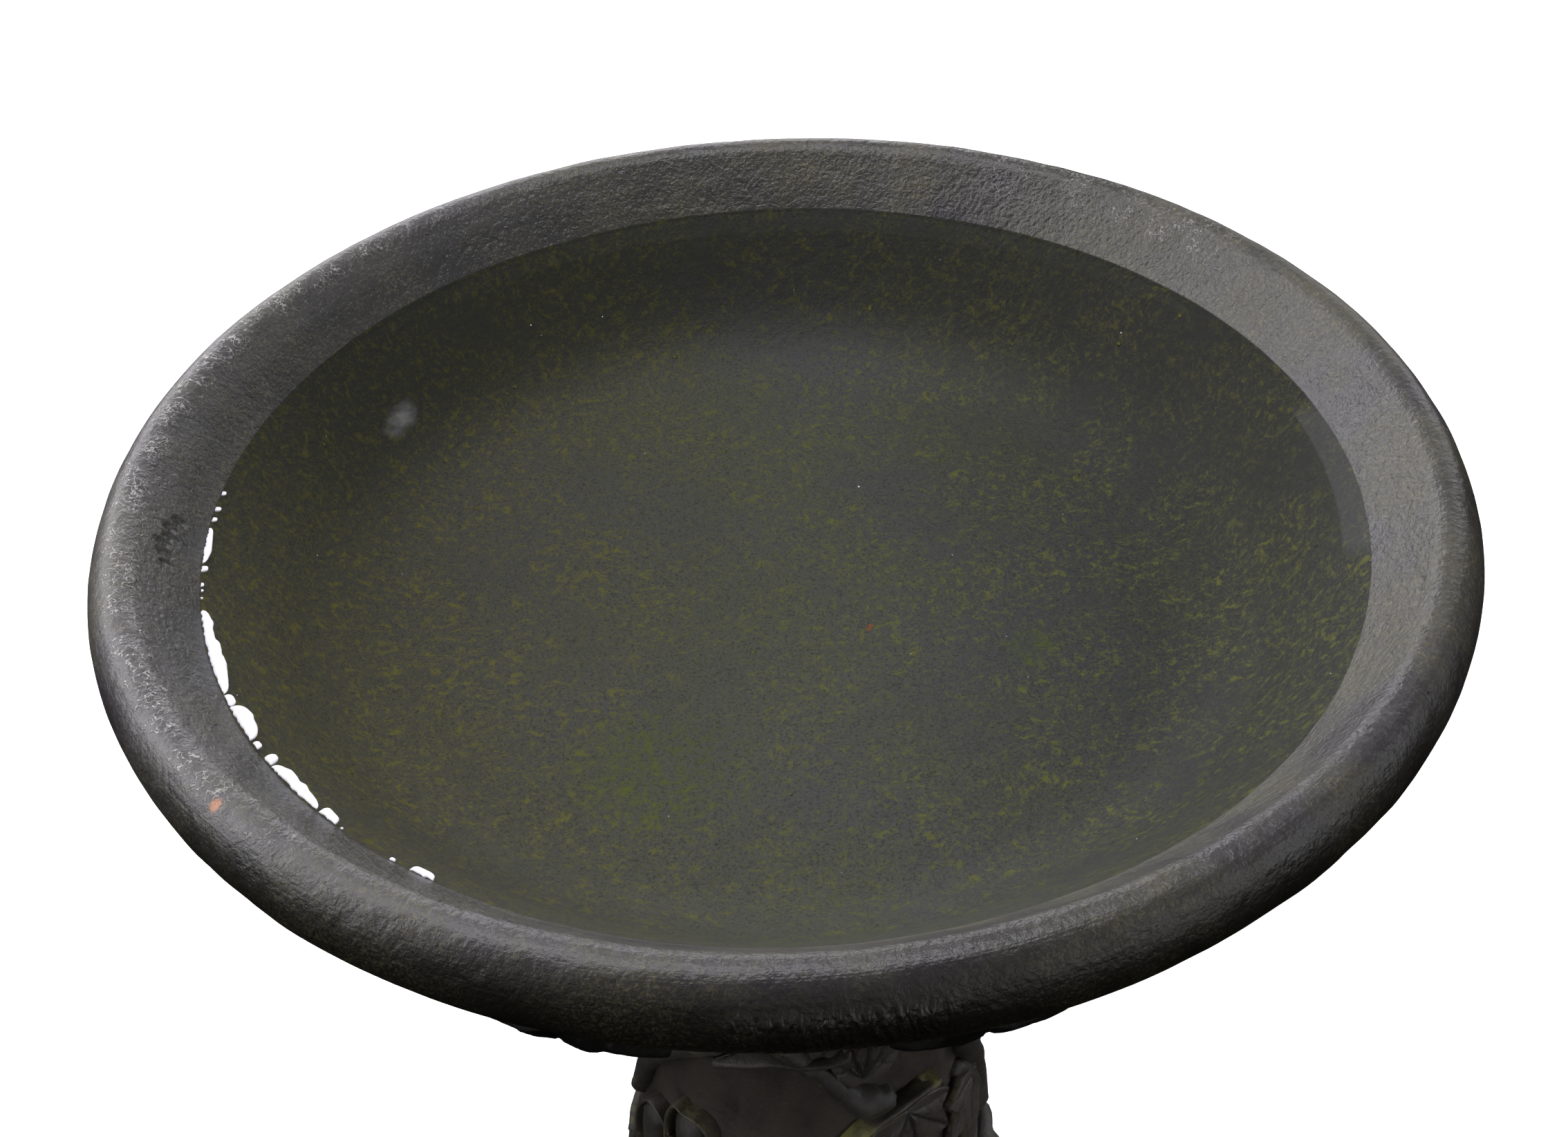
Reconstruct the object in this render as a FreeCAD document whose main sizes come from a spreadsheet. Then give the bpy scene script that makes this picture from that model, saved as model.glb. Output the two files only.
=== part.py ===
"""Pedestal bird bath in cast stone.

A round basin with a rolled rim lifts off a column that carries climbing vines in relief.
A rubber ring lies between them. Steel is cast into both: a hoop in the rim, bars and ties in the column.
Frame: +Z up, origin on the ground at the middle of the foot, +X to the right, -Y towards the front.
Units are millimetres and degrees.
"""
import FreeCAD, Part
import math
import os

import Sketcher
from FreeCAD import Placement, Rotation, Vector

# Each size: alias, value, what it is.
SIZES = [
    # basin
    ("bowl_diameter", 508.0, "outside of the rolled rim"),
    ("overall_height", 608.0, "ground to the top of the rim"),
    ("roll_diameter", 40.0, "thickness of the rolled rim"),
    ("crest_radius", 9.5, "rounding between the roll and the inner wall"),
    ("crest_turn", 50.0, "degrees above level where the roll passes into the crest"),
    ("bowl_height", 118.0, "rim top down to the seat face"),
    ("floor_depth", 78.0, "rim top down to the floor's edge"),
    ("inner_wall_slope", 50.0, "degrees from level, inner wall under the crest"),
    ("inner_corner_radius", 60.0, "curve of the wall into the floor"),
    ("floor_slope", 3.0, "degrees, the floor's fall to the middle"),
    ("wall_lean", 27.0, "degrees from upright, outer wall under the roll"),
    ("roll_undercut", 12.0, "degrees past the roll's lowest point where the wall starts"),
    ("outer_corner_radius", 72.0, "curve of the outer wall into the underside"),
    ("underside_rise", 4.0, "rise of the underside from the seat to the corner"),
    ("seat_diameter", 208.0, "flat seat face under the basin"),
    # fit between basin and column
    ("tenon_diameter", 120.0, "round tenon on the column"),
    ("tenon_height", 15.0, "tenon above the column's top face"),
    ("tenon_draft", 2.0, "how much narrower the tenon's top is, on the radius"),
    ("socket_clearance", 2.0, "radial gap round the tenon"),
    ("socket_headroom", 2.5, "gap over the tenon"),
    ("ring_thickness", 3.0, "rubber ring"),
    ("ring_width", 26.0, "rubber ring, radially"),
    # column
    ("foot_diameter", 270.0, "plinth"),
    ("foot_height", 30.0, "plinth"),
    ("foot_bevel", 5.0, "plinth edges"),
    ("root_diameter", 246.0, "column where it meets the plinth"),
    ("ankle_diameter", 200.0, "column at the top of the root flare"),
    ("ankle_height", 90.0, "ground to the top of the root flare"),
    ("waist_diameter", 160.0, "narrowest part of the column"),
    ("waist_height", 345.0, "ground to the narrowest part"),
    ("capital_diameter", 220.0, "column under the basin"),
    ("capital_band", 9.0, "upright band at the top of the capital"),
    ("capital_bevel", 4.0, "top edge of the capital"),
    ("core_diameter", 56.0, "hollow core at the foot"),
    ("core_top_diameter", 44.0, "hollow core at its closed end"),
    ("core_height", 400.0, "ground to the closed end of the core"),
    # relief
    ("column_relief", 6.0, "leaf thickness on the column"),
    ("basin_relief", 8.0, "leaf thickness under the basin"),
    ("stem_diameter", 14.0, "climbing stems"),
    ("leaf_length", 66.0, "a full-size leaf, stalk to tip"),
    ("leaf_width", 68.0, "a full-size leaf, across its side lobes"),
    # cast-in steel
    ("hoop_height", 16.0, "flat bar of the rim hoop, upright side"),
    ("hoop_thickness", 3.0, "flat bar of the rim hoop"),
    ("bar_rod", 8.0, "upright bars of the column's cage"),
    ("bar_circle", 112.0, "circle through the upright bars"),
    ("bar_count", 4, "upright bars"),
    ("bar_cover", 25.0, "stone over each end of the bars"),
    ("band_height", 12.0, "bands welded round the bars"),
    ("band_thickness", 3.0, "bands welded round the bars"),
    ("band_bite", 1.0, "how far a band is let into the bars"),
    ("band_count", 3, "bands"),
]

doc = FreeCAD.newDocument("BirdBath")
sheet = doc.addObject("Spreadsheet::Sheet", "Sizes")
for row, (alias, number, note) in enumerate(SIZES, start=1):
    sheet.set("A%d" % row, alias)
    sheet.set("B%d" % row, str(number))
    sheet.set("C%d" % row, note)
    sheet.setAlias("B%d" % row, alias)
doc.recompute()

# Values worked out from the driving sizes, as expressions that sketches and features share.
BOWL_R = "(Sizes.bowl_diameter / 2)"
ROLL_R = "(Sizes.roll_diameter / 2)"
RIM_R = "(%s - %s)" % (BOWL_R, ROLL_R)
CREST_R = "Sizes.crest_radius"
# The crest's circle touches the roll's circle from inside, so their centres are this far apart.
CREST_OFFSET = "(%s - %s)" % (ROLL_R, CREST_R)
CREST_CENTRE_R = "(%s + %s * cos(Sizes.crest_turn))" % (RIM_R, CREST_OFFSET)
CREST_CENTRE_Z = "(Sizes.overall_height - %s)" % CREST_R
RIM_Z = "(%s - %s * sin(Sizes.crest_turn))" % (CREST_CENTRE_Z, CREST_OFFSET)
CREST_OUT_R = "(%s + %s * cos(Sizes.crest_turn))" % (RIM_R, ROLL_R)
CREST_OUT_Z = "(%s + %s * sin(Sizes.crest_turn))" % (RIM_Z, ROLL_R)
SEAT_Z = "(Sizes.overall_height - Sizes.bowl_height)"
TOP_Z = "(%s - Sizes.ring_thickness)" % SEAT_Z
TENON_R = "(Sizes.tenon_diameter / 2)"
SOCKET_R = "(%s + Sizes.socket_clearance)" % TENON_R
SOCKET_Z = "(%s + Sizes.tenon_height + Sizes.socket_headroom)" % TOP_Z
WALL = "Sizes.inner_wall_slope"
CORNER_R = "Sizes.inner_corner_radius"
CREST_IN_R = "(%s - %s * sin(%s))" % (CREST_CENTRE_R, CREST_R, WALL)
CREST_IN_Z = "(%s + %s * cos(%s))" % (CREST_CENTRE_Z, CREST_R, WALL)
FLOOR_EDGE_Z = "(Sizes.overall_height - Sizes.floor_depth)"
WALL_BASE_Z = "(%s + %s * (cos(Sizes.floor_slope) - cos(%s)))" % (FLOOR_EDGE_Z, CORNER_R, WALL)
WALL_BASE_R = "(%s - (%s - %s) / tan(%s))" % (CREST_IN_R, CREST_IN_Z, WALL_BASE_Z, WALL)
FLOOR_EDGE_R = "(%s - %s * (sin(%s) - sin(Sizes.floor_slope)))" % (WALL_BASE_R, CORNER_R, WALL)
FLOOR_Z = "(%s - %s * tan(Sizes.floor_slope))" % (FLOOR_EDGE_Z, FLOOR_EDGE_R)
WALL_TOP_R = "(%s - %s * sin(Sizes.roll_undercut))" % (RIM_R, ROLL_R)
WALL_TOP_Z = "(%s - %s * cos(Sizes.roll_undercut))" % (RIM_Z, ROLL_R)
UNDER_R = "Sizes.outer_corner_radius"
WALL_FOOT_Z = "(%s + Sizes.underside_rise + %s * (1 - sin(Sizes.wall_lean)))" % (SEAT_Z, UNDER_R)
WALL_FOOT_R = "(%s - (%s - %s) * tan(Sizes.wall_lean))" % (WALL_TOP_R, WALL_TOP_Z, WALL_FOOT_Z)
UNDER_EDGE_R = "(%s - %s * cos(Sizes.wall_lean))" % (WALL_FOOT_R, UNDER_R)
UNDER_EDGE_Z = "(%s + Sizes.underside_rise)" % SEAT_Z


def value(expression):
    """The number that an expression over the sheet gives now."""
    return float(sheet.evalExpression(expression))


def size(alias):
    return value("Sizes." + alias)


def polar(radius, azimuth, height):
    """A point by its distance from the axis, its azimuth from the front (+X side positive) and its height."""
    a = math.radians(azimuth)
    return Vector(radius * math.sin(a), -radius * math.cos(a), height)


# ---------------------------------------------------------------- sketches


def arc_through(start, end, radius, side):
    """The short arc of that radius between two points.
    side 1 puts its centre left of the way from start to end, and -1 right of it."""
    chord = end - start
    half = chord.Length / 2
    if radius < half:
        raise ValueError("an arc of radius %.2f can't span %.2f" % (radius, chord.Length))
    left = Vector(-chord.y, chord.x, 0).normalize()
    centre = (start + end) / 2 + left * side * math.sqrt(radius**2 - half**2)
    return Part.Arc(start, centre - left * side * radius, end)


def place_point(sketch, geometry, end, x, z):
    """Ties one end of a sketch line or arc to two expressions."""
    for kind, expression, axis in (("DistanceX", x, -2), ("DistanceY", z, -1)):
        if expression == "0":
            sketch.addConstraint(Sketcher.Constraint("PointOnObject", geometry, end, axis))
        else:
            number = sketch.addConstraint(
                Sketcher.Constraint(kind, -1, 1, geometry, end, value(expression))
            )
            sketch.setExpression("Constraints[%d]" % number, expression)


def half_profile(body, name, steps):
    """A closed sketch on the body's XZ plane. Each step is (x, z) for a line to that point, or
    (x, z, radius, side) for an arc to it. The last point joins back to the first by a line."""
    sketch = body.newObject("Sketcher::SketchObject", name)
    plane = [o for o in body.Origin.OriginFeatures if o.Role == "XZ_Plane"][0]
    sketch.AttachmentSupport = [(plane, "")]
    sketch.MapMode = "FlatFace"
    points = [Vector(value(s[0]), value(s[1]), 0) for s in steps]
    count = len(steps)
    ends = []
    for k in range(count):
        start, finish, step = points[k], points[(k + 1) % count], steps[(k + 1) % count]
        if k + 1 < count and len(step) > 2:
            arc = arc_through(start, finish, value(step[2]), step[3])
            number = sketch.addGeometry(arc)
            first = sketch.getPoint(number, 1)
            tail, head = (1, 2) if (first - start).Length < 1e-6 else (2, 1)
        else:
            number = sketch.addGeometry(Part.LineSegment(start, finish))
            tail, head = 1, 2
        ends.append((number, tail, head))
    for k in range(count):
        number, tail, _ = ends[k]
        before, _, head_before = ends[k - 1]
        sketch.addConstraint(Sketcher.Constraint("Coincident", before, head_before, number, tail))
        place_point(sketch, number, tail, steps[k][0], steps[k][1])
    for k in range(1, count):
        if len(steps[k]) > 2:
            number = ends[k - 1][0]
            made = sketch.addConstraint(
                Sketcher.Constraint("Radius", number, value(steps[k][2]))
            )
            sketch.setExpression("Constraints[%d]" % made, steps[k][2])
    return sketch


def revolve(body, name, sketch, kind="PartDesign::Revolution"):
    """A full turn of a half profile about the sketch's upright axis."""
    feature = body.newObject(kind, name)
    feature.Profile = sketch
    feature.ReferenceAxis = (sketch, ["V_Axis"])
    feature.Angle = 360.0
    return feature


def new_body(name):
    body = doc.addObject("PartDesign::Body", name)
    body.Label = name
    return body


# ---------------------------------------------------------------- plain bodies


def basin_body():
    """Floor, corner curve, sloping inner wall, crest and roll of the rim, leaning outer wall,
    underside and the round socket."""
    body = new_body("basin_casting")
    steps = [
        ("0", FLOOR_Z),
        (FLOOR_EDGE_R, FLOOR_EDGE_Z),
        (WALL_BASE_R, WALL_BASE_Z, CORNER_R, 1),
        (CREST_IN_R, CREST_IN_Z),
        (CREST_OUT_R, CREST_OUT_Z, CREST_R, -1),
        (WALL_TOP_R, WALL_TOP_Z, ROLL_R, -1),
        (WALL_FOOT_R, WALL_FOOT_Z),
        (UNDER_EDGE_R, UNDER_EDGE_Z, UNDER_R, -1),
        ("Sizes.seat_diameter / 2", SEAT_Z),
        (SOCKET_R, SEAT_Z),
        (SOCKET_R, SOCKET_Z),
        ("0", SOCKET_Z),
    ]
    revolve(body, "BasinTurn", half_profile(body, "BasinProfile", steps))
    return body


ROOT_R = "(Sizes.root_diameter / 2)"
ANKLE_R = "(Sizes.ankle_diameter / 2)"
WAIST_R = "(Sizes.waist_diameter / 2)"
CAPITAL_R = "(Sizes.capital_diameter / 2)"
FOOT_R = "(Sizes.foot_diameter / 2)"
BAND_Z = "(%s - Sizes.capital_bevel - Sizes.capital_band)" % TOP_Z
# An arc upright at the waist that reaches a wider radius has this radius of curvature.
SHAFT_ARC = "(((%s - %s)^2 + (Sizes.waist_height - Sizes.ankle_height)^2) / (2 * (%s - %s)))" % (
    ANKLE_R, WAIST_R, ANKLE_R, WAIST_R)
CAPITAL_ARC = "(((%s - %s)^2 + (%s - Sizes.waist_height)^2) / (2 * (%s - %s)))" % (
    CAPITAL_R, WAIST_R, BAND_Z, CAPITAL_R, WAIST_R)
# The root flare leaves the shaft at the shaft's own slope.
# Half its turn is the chord's angle less that slope.
SHAFT_SLOPE = "asin((Sizes.waist_height - Sizes.ankle_height) / %s)" % SHAFT_ARC
FLARE_CHORD = "sqrt((%s - %s)^2 + (Sizes.ankle_height - Sizes.foot_height)^2)" % (ROOT_R, ANKLE_R)
FLARE_TURN = "(atan((%s - %s) / (Sizes.ankle_height - Sizes.foot_height)) - %s)" % (
    ROOT_R, ANKLE_R, SHAFT_SLOPE)
FLARE_ARC = "(%s / (2 * sin(%s)))" % (FLARE_CHORD, FLARE_TURN)


def column_body():
    """Plinth, root flare, shaft, capital and tenon, with a tapered core open at the foot."""
    body = new_body("column_casting")
    edge = "Sizes.foot_bevel"
    lip = "Sizes.capital_bevel"
    steps = [
        ("0", "0"),
        ("(%s - %s)" % (FOOT_R, edge), "0"),
        (FOOT_R, edge),
        (FOOT_R, "(Sizes.foot_height - %s)" % edge),
        ("(%s - %s)" % (FOOT_R, edge), "Sizes.foot_height"),
        (ROOT_R, "Sizes.foot_height"),
        (ANKLE_R, "Sizes.ankle_height", FLARE_ARC, -1),
        (WAIST_R, "Sizes.waist_height", SHAFT_ARC, -1),
        (CAPITAL_R, BAND_Z, CAPITAL_ARC, -1),
        (CAPITAL_R, "(%s - %s)" % (TOP_Z, lip)),
        ("(%s - %s)" % (CAPITAL_R, lip), TOP_Z),
        (TENON_R, TOP_Z),
        ("(%s - Sizes.tenon_draft)" % TENON_R, "(%s + Sizes.tenon_height)" % TOP_Z),
        ("0", "(%s + Sizes.tenon_height)" % TOP_Z),
    ]
    revolve(body, "ColumnTurn", half_profile(body, "ColumnProfile", steps))
    doc.recompute()
    solid_before = body.Shape.Volume
    core = [
        ("0", "0"),
        ("Sizes.core_diameter / 2", "0"),
        ("Sizes.core_top_diameter / 2", "Sizes.core_height"),
        ("0", "Sizes.core_height"),
    ]
    revolve(body, "CoreGroove", half_profile(body, "CoreProfile", core), "PartDesign::Groove")
    doc.recompute()
    if body.Shape.Volume >= solid_before:
        raise RuntimeError("the core cut nothing out of the column")
    return body


def column_radius(height):
    """Outer radius of the plain column at a height above the plinth."""
    ankle, waist, band = size("ankle_height"), size("waist_height"), value(BAND_Z)
    if height >= band:
        return value(CAPITAL_R)
    if height >= ankle:
        arc = value(CAPITAL_ARC) if height > waist else value(SHAFT_ARC)
        return value(WAIST_R) + arc - math.sqrt(arc**2 - (height - waist) ** 2)
    slope = math.radians(value(SHAFT_SLOPE))
    arc = value(FLARE_ARC)
    centre_r = value(ANKLE_R) + arc * math.cos(slope)
    centre_z = ankle + arc * math.sin(slope)
    return centre_r - math.sqrt(arc**2 - (height - centre_z) ** 2)


# ---------------------------------------------------------------- relief

COLUMN_SHELL_STEPS = 9  # conical bands that the leaves' faces on the column follow
BASIN_SHELL_STEPS = 4  # the same, round the basin's underside
LOBE_TIPS = [(0, 1.0), (50, 0.82), (104, 0.60)]  # degrees from the leaf's tip, share of its length
LOBE_NOTCHES = [(27, 0.66), (78, 0.50)]
LOBE_BASE = (146, 0.40)  # shoulder beside the stalk


def leaf_outline(length, width):
    """A five-lobed leaf in the XY plane, stalk at the origin and tip along +Y."""
    spread = max(share * math.sin(math.radians(angle)) for angle, share in LOBE_TIPS)
    across = width / (2 * length * spread)
    side = [LOBE_TIPS[0], LOBE_NOTCHES[0], LOBE_TIPS[1], LOBE_NOTCHES[1], LOBE_TIPS[2], LOBE_BASE]

    def point(angle, share, sign):
        a = math.radians(angle)
        return Vector(sign * across * length * share * math.sin(a), length * share * math.cos(a), 0)

    right = [point(a, s, 1) for a, s in side]
    left = [point(a, s, -1) for a, s in side[1:]]
    return Part.makePolygon(right + [Vector(0, 0, 0)] + left[::-1] + right[:1])


def leaf_relief(at, outward, upward, turn, scale, shell):
    """A leaf cut out of a relief shell: at is its middle, outward the wall's normal there,
    upward the way its tip points before it is turned about that normal."""
    length, width = size("leaf_length") * scale, size("leaf_width") * scale
    across = upward.cross(outward)
    frame = Placement(at, Rotation(across, upward, outward, "ZXY"))
    spin = Placement(Vector(0, 0, 0), Rotation(Vector(0, 0, 1), turn))
    centre = Placement(Vector(0, -0.4 * length, 0), Rotation())
    outline = leaf_outline(length, width)
    outline.Placement = frame.multiply(spin).multiply(centre)
    reach = length * 0.45
    face = Part.Face(outline)
    face.translate(outward * -reach)
    return face.extrude(outward * 2 * reach).common(shell)


def relief_shell(wall, normals, extra, sunk):
    """A ring solid about Z from a wall's profile points: raised by extra along the normals on the outside,
    and sunk into the stone by as much as said on the inside."""
    raised = [p + n * extra for p, n in zip(wall, normals)]
    inside = [p - n * sunk for p, n in zip(wall, normals)]
    face = Part.Face(Part.makePolygon(raised + inside[::-1] + raised[:1]))
    return face.revolve(Vector(0, 0, 0), Vector(0, 0, 1), 360)


def column_shell():
    """The column's outside, thicker by the relief, from the plinth to just under the capital's band."""
    low, high = size("foot_height"), value(BAND_Z)
    heights = [low + (high - low) * k / COLUMN_SHELL_STEPS for k in range(COLUMN_SHELL_STEPS + 1)]
    wall = [Vector(column_radius(z), 0, z) for z in heights]
    return relief_shell(wall, [Vector(1, 0, 0)] * len(wall), size("column_relief"), 12.0)


def basin_shell():
    """The basin's outer wall and underside, thicker by the relief."""
    lean, reach = size("wall_lean"), value(UNDER_R)
    foot = Vector(value(WALL_FOOT_R), 0, value(WALL_FOOT_Z))
    centre = foot + Vector(-math.cos(math.radians(lean)), 0, math.sin(math.radians(lean))) * reach
    turns = [math.radians(lean + (90 - lean) * k / BASIN_SHELL_STEPS) for k in range(BASIN_SHELL_STEPS + 1)]
    normals = [Vector(math.cos(a), 0, -math.sin(a)) for a in turns]
    wall = [centre + n * reach for n in normals]
    along = Vector(math.sin(turns[0]), 0, math.cos(turns[0]))
    wall.insert(0, foot + along * (value(WALL_TOP_Z) - value(WALL_FOOT_Z)) * 0.6)
    normals.insert(0, normals[0])
    wall.append(wall[-1] - Vector(15.0, 0, 0))
    normals.append(normals[-1])
    return relief_shell(wall, normals, size("basin_relief"), 10.0)


# Leaves on the column: azimuth in degrees, height as a share of the column, turn of the tip
# from straight up (positive towards +X), scale.
COLUMN_LEAVES = [
    (18, 0.70, 10, 0.95), (-10, 0.74, -100, 0.95), (-52, 0.50, 22, 1.10), (34, 0.49, -120, 1.20),
    (84, 0.42, -170, 0.90), (-84, 0.66, 18, 0.90), (-20, 0.29, 150, 0.90), (28, 0.21, -160, 0.80),
    (130, 0.60, -20, 0.95), (178, 0.72, 16, 0.95), (-132, 0.52, -150, 0.95), (158, 0.40, 165, 0.90),
    (-90, 0.32, 140, 0.90), (-164, 0.28, -25, 0.90), (112, 0.18, 160, 0.80), (-120, 0.14, 170, 0.75),
]
# Leaves under the basin: azimuth in degrees, turn of the tip, scale.
BASIN_LEAVES = [
    (-21, 12, 1.0), (12, -20, 0.85), (46, 10, 1.0), (82, -14, 0.95), (118, 16, 1.0), (155, -10, 0.95),
    (190, 14, 1.0), (226, -16, 0.95), (262, 12, 1.0), (298, -12, 0.95),
]
# Stems on the column: stations of azimuth and height share that each one climbs through.
COLUMN_STEMS = [
    [(-70, 0.93), (-46, 0.84), (-20, 0.79), (-4, 0.70), (6, 0.65), (16, 0.62), (38, 0.61), (60, 0.52),
     (80, 0.45), (100, 0.35), (110, 0.25), (98, 0.11)],
    [(150, 0.10), (128, 0.26), (146, 0.40), (186, 0.50), (214, 0.62), (200, 0.76), (172, 0.93)],
    [(45, 0.93), (57, 0.80), (60, 0.68), (60, 0.58), (66, 0.48)],
    [(-150, 0.10), (-120, 0.22), (-104, 0.36), (-118, 0.48), (-98, 0.60), (-100, 0.78), (-118, 0.93)],
    [(-60, 0.10), (-40, 0.20), (-6, 0.24), (30, 0.29), (66, 0.32), (98, 0.33)],
]


def column_leaves():
    shell = column_shell()
    height = value(BAND_Z)
    for azimuth, share, turn, scale in COLUMN_LEAVES:
        z = height * share
        at = polar(column_radius(z), azimuth, z)
        outward = polar(1, azimuth, 0)
        yield leaf_relief(at, outward, Vector(0, 0, 1), -turn, scale, shell)


def basin_leaves():
    shell = basin_shell()
    slant = math.radians(90 - size("wall_lean")) / 2
    lean = math.radians(size("wall_lean")) + slant
    centre_r = value(WALL_FOOT_R) - value(UNDER_R) * math.cos(math.radians(size("wall_lean")))
    centre_z = value(WALL_FOOT_Z) + value(UNDER_R) * math.sin(math.radians(size("wall_lean")))
    for azimuth, turn, scale in BASIN_LEAVES:
        reach = value(UNDER_R)
        at = polar(centre_r + reach * math.cos(lean), azimuth, centre_z - reach * math.sin(lean))
        outward = polar(math.cos(lean), azimuth, -math.sin(lean))
        upward = polar(math.sin(lean), azimuth, math.cos(lean))
        yield leaf_relief(at, outward, upward, -turn, scale, shell)


def stem_solid(stations):
    """A round stem laid half sunk on the column through its stations. Its ends dive into the stone."""
    radius = size("stem_diameter") / 2
    height = value(BAND_Z)
    points = []
    for number, (azimuth, share) in enumerate(stations):
        z = height * share
        sunk = 2.2 * radius if number in (0, len(stations) - 1) else 0.0
        points.append(polar(column_radius(z) - sunk, azimuth, z))
    ring = Part.Wire(Part.Circle(points[0], points[1] - points[0], radius).toShape())
    mitred = 1
    return Part.makePolygon(points).makePipeShell([ring], True, False, mitred)


def feature(name, shape):
    made = doc.addObject("Part::Feature", name)
    made.Shape = shape
    return made


def fuse(name, base, extras):
    made = doc.addObject("Part::MultiFuse", name)
    made.Label = name
    made.Shapes = [base] + extras
    made.Refine = False
    return made


def cut(name, base, tool):
    made = doc.addObject("Part::Cut", name)
    made.Label = name
    made.Base, made.Tool = base, tool
    return made


# ---------------------------------------------------------------- cast-in steel


def rim_hoop():
    """A hoop rolled from flat bar, in the rim under its crest."""
    body = new_body("rim_hoop")
    inner, outer = ("(%s %s Sizes.hoop_thickness / 2)" % (CREST_CENTRE_R, sign) for sign in "-+")
    low, high = ("(%s %s Sizes.hoop_height / 2)" % (RIM_Z, sign) for sign in "-+")
    steps = [(inner, low), (outer, low), (outer, high), (inner, high)]
    revolve(body, "HoopTurn", half_profile(body, "HoopProfile", steps))
    return body


def cylinder(name, diameter, height, z, x="0", y="0"):
    made = doc.addObject("Part::Cylinder", name)
    made.setExpression("Radius", "%s / 2" % diameter)
    made.setExpression("Height", height)
    for axis, expression in (("x", x), ("y", y), ("z", z)):
        made.setExpression("Placement.Base." + axis, expression)
    return made


def column_cage():
    """Upright bars on a circle inside the column's wall, welded to the bands round them."""
    pieces = []
    for k in range(int(size("bar_count"))):
        turn = "(360 * %d / Sizes.bar_count + 45)" % k
        x, y = ("(Sizes.bar_circle / 2 * %s(%s))" % (f, turn) for f in ("cos", "sin"))
        height = "(%s - 2 * Sizes.bar_cover)" % TOP_Z
        pieces.append(cylinder("CageBar%d" % (k + 1), "Sizes.bar_rod", height, "Sizes.bar_cover", x, y))
    inner = "(Sizes.bar_circle + Sizes.bar_rod - 2 * Sizes.band_bite)"
    outer = "(%s + 2 * Sizes.band_thickness)" % inner
    for k in range(int(size("band_count"))):
        z = "(%s * %d / (Sizes.band_count + 1) - Sizes.band_height / 2)" % (TOP_Z, k + 1)
        disc = cylinder("CageBand%dDisc" % (k + 1), outer, "Sizes.band_height", z)
        hole = cylinder("CageBand%dHole" % (k + 1), inner, "Sizes.band_height", z)
        pieces.append(cut("CageBand%d" % (k + 1), disc, hole))
    return fuse("column_cage", pieces[0], pieces[1:])


# ---------------------------------------------------------------- rubber ring


def seat_ring():
    """A flat ring that lies round the tenon and carries the basin."""
    body = new_body("seat_ring")
    inner = "(%s + 2 * Sizes.socket_clearance)" % TENON_R
    outer = "(%s + Sizes.ring_width)" % inner
    steps = [(inner, TOP_Z), (outer, TOP_Z), (outer, SEAT_Z), (inner, SEAT_Z)]
    revolve(body, "RingTurn", half_profile(body, "RingProfile", steps))
    return body


# ---------------------------------------------------------------- assembly


def build():
    hoop, cage, ring = rim_hoop(), column_cage(), seat_ring()
    basin_plain, column_plain = basin_body(), column_body()
    doc.recompute()

    basin_hollow = cut("BasinHollow", basin_plain, hoop)
    leaves = [feature("BasinLeaf%d" % (k + 1), s) for k, s in enumerate(basin_leaves())]
    basin = fuse("basin", basin_hollow, leaves)

    column_hollow = cut("ColumnHollow", column_plain, cage)
    relief = [feature("ColumnLeaf%d" % (k + 1), s) for k, s in enumerate(column_leaves())]
    relief += [feature("Stem%d" % (k + 1), stem_solid(s)) for k, s in enumerate(COLUMN_STEMS)]
    pedestal = fuse("pedestal", column_hollow, relief)
    doc.recompute()
    return [basin, hoop, ring, pedestal, cage]


def check_and_write(nodes):
    for item in doc.Objects:
        if {"Invalid", "Error"} & set(item.State):
            raise RuntimeError("%s failed: %s" % (item.Name, item.State))
    os.makedirs("parts", exist_ok=True)
    for node in nodes:
        shape = node.Shape
        if shape.isNull() or not shape.isValid() or not shape.Solids:
            raise RuntimeError("%s has no valid solid" % node.Label)
        shape.exportStep("parts/%s.step" % node.Label)
        box = shape.optimalBoundingBox(False)
        print("%-12s solids %d faces %4d volume %9.0f mm3 z %.1f..%.1f" % (
            node.Label, len(shape.Solids), len(shape.Faces), shape.Volume, box.ZMin, box.ZMax))


check_and_write(build())
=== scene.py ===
# %% [markdown]
# # A cast stone bird bath
# A bird bath is a shallow basin on a column. Both are cast in a cement mix from a rubber mould, so every
# surface carries the sculptor's strokes, small pits from trapped air, and a stain that was rubbed on and
# wiped off again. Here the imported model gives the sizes, and this lesson makes the surfaces.

import math

import bpy
import numpy as np
from mathutils import Matrix, Vector


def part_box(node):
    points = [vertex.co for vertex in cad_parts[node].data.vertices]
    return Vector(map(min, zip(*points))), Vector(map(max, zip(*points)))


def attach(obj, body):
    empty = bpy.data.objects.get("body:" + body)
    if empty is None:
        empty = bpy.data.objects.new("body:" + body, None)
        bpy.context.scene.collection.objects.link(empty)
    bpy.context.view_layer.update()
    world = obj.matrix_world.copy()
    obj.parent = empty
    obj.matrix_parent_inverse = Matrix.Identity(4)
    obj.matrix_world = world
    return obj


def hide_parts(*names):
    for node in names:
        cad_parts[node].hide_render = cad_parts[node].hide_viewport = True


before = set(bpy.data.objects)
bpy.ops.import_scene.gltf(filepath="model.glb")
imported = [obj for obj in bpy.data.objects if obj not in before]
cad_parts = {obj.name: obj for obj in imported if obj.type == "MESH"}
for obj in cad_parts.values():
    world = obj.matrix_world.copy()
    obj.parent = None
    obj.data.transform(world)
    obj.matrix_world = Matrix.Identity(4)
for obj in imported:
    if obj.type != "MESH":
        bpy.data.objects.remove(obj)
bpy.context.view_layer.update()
basin_low, basin_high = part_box("basin")
column_low, column_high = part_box("pedestal")
ring_low, ring_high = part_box("seat_ring")

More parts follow.
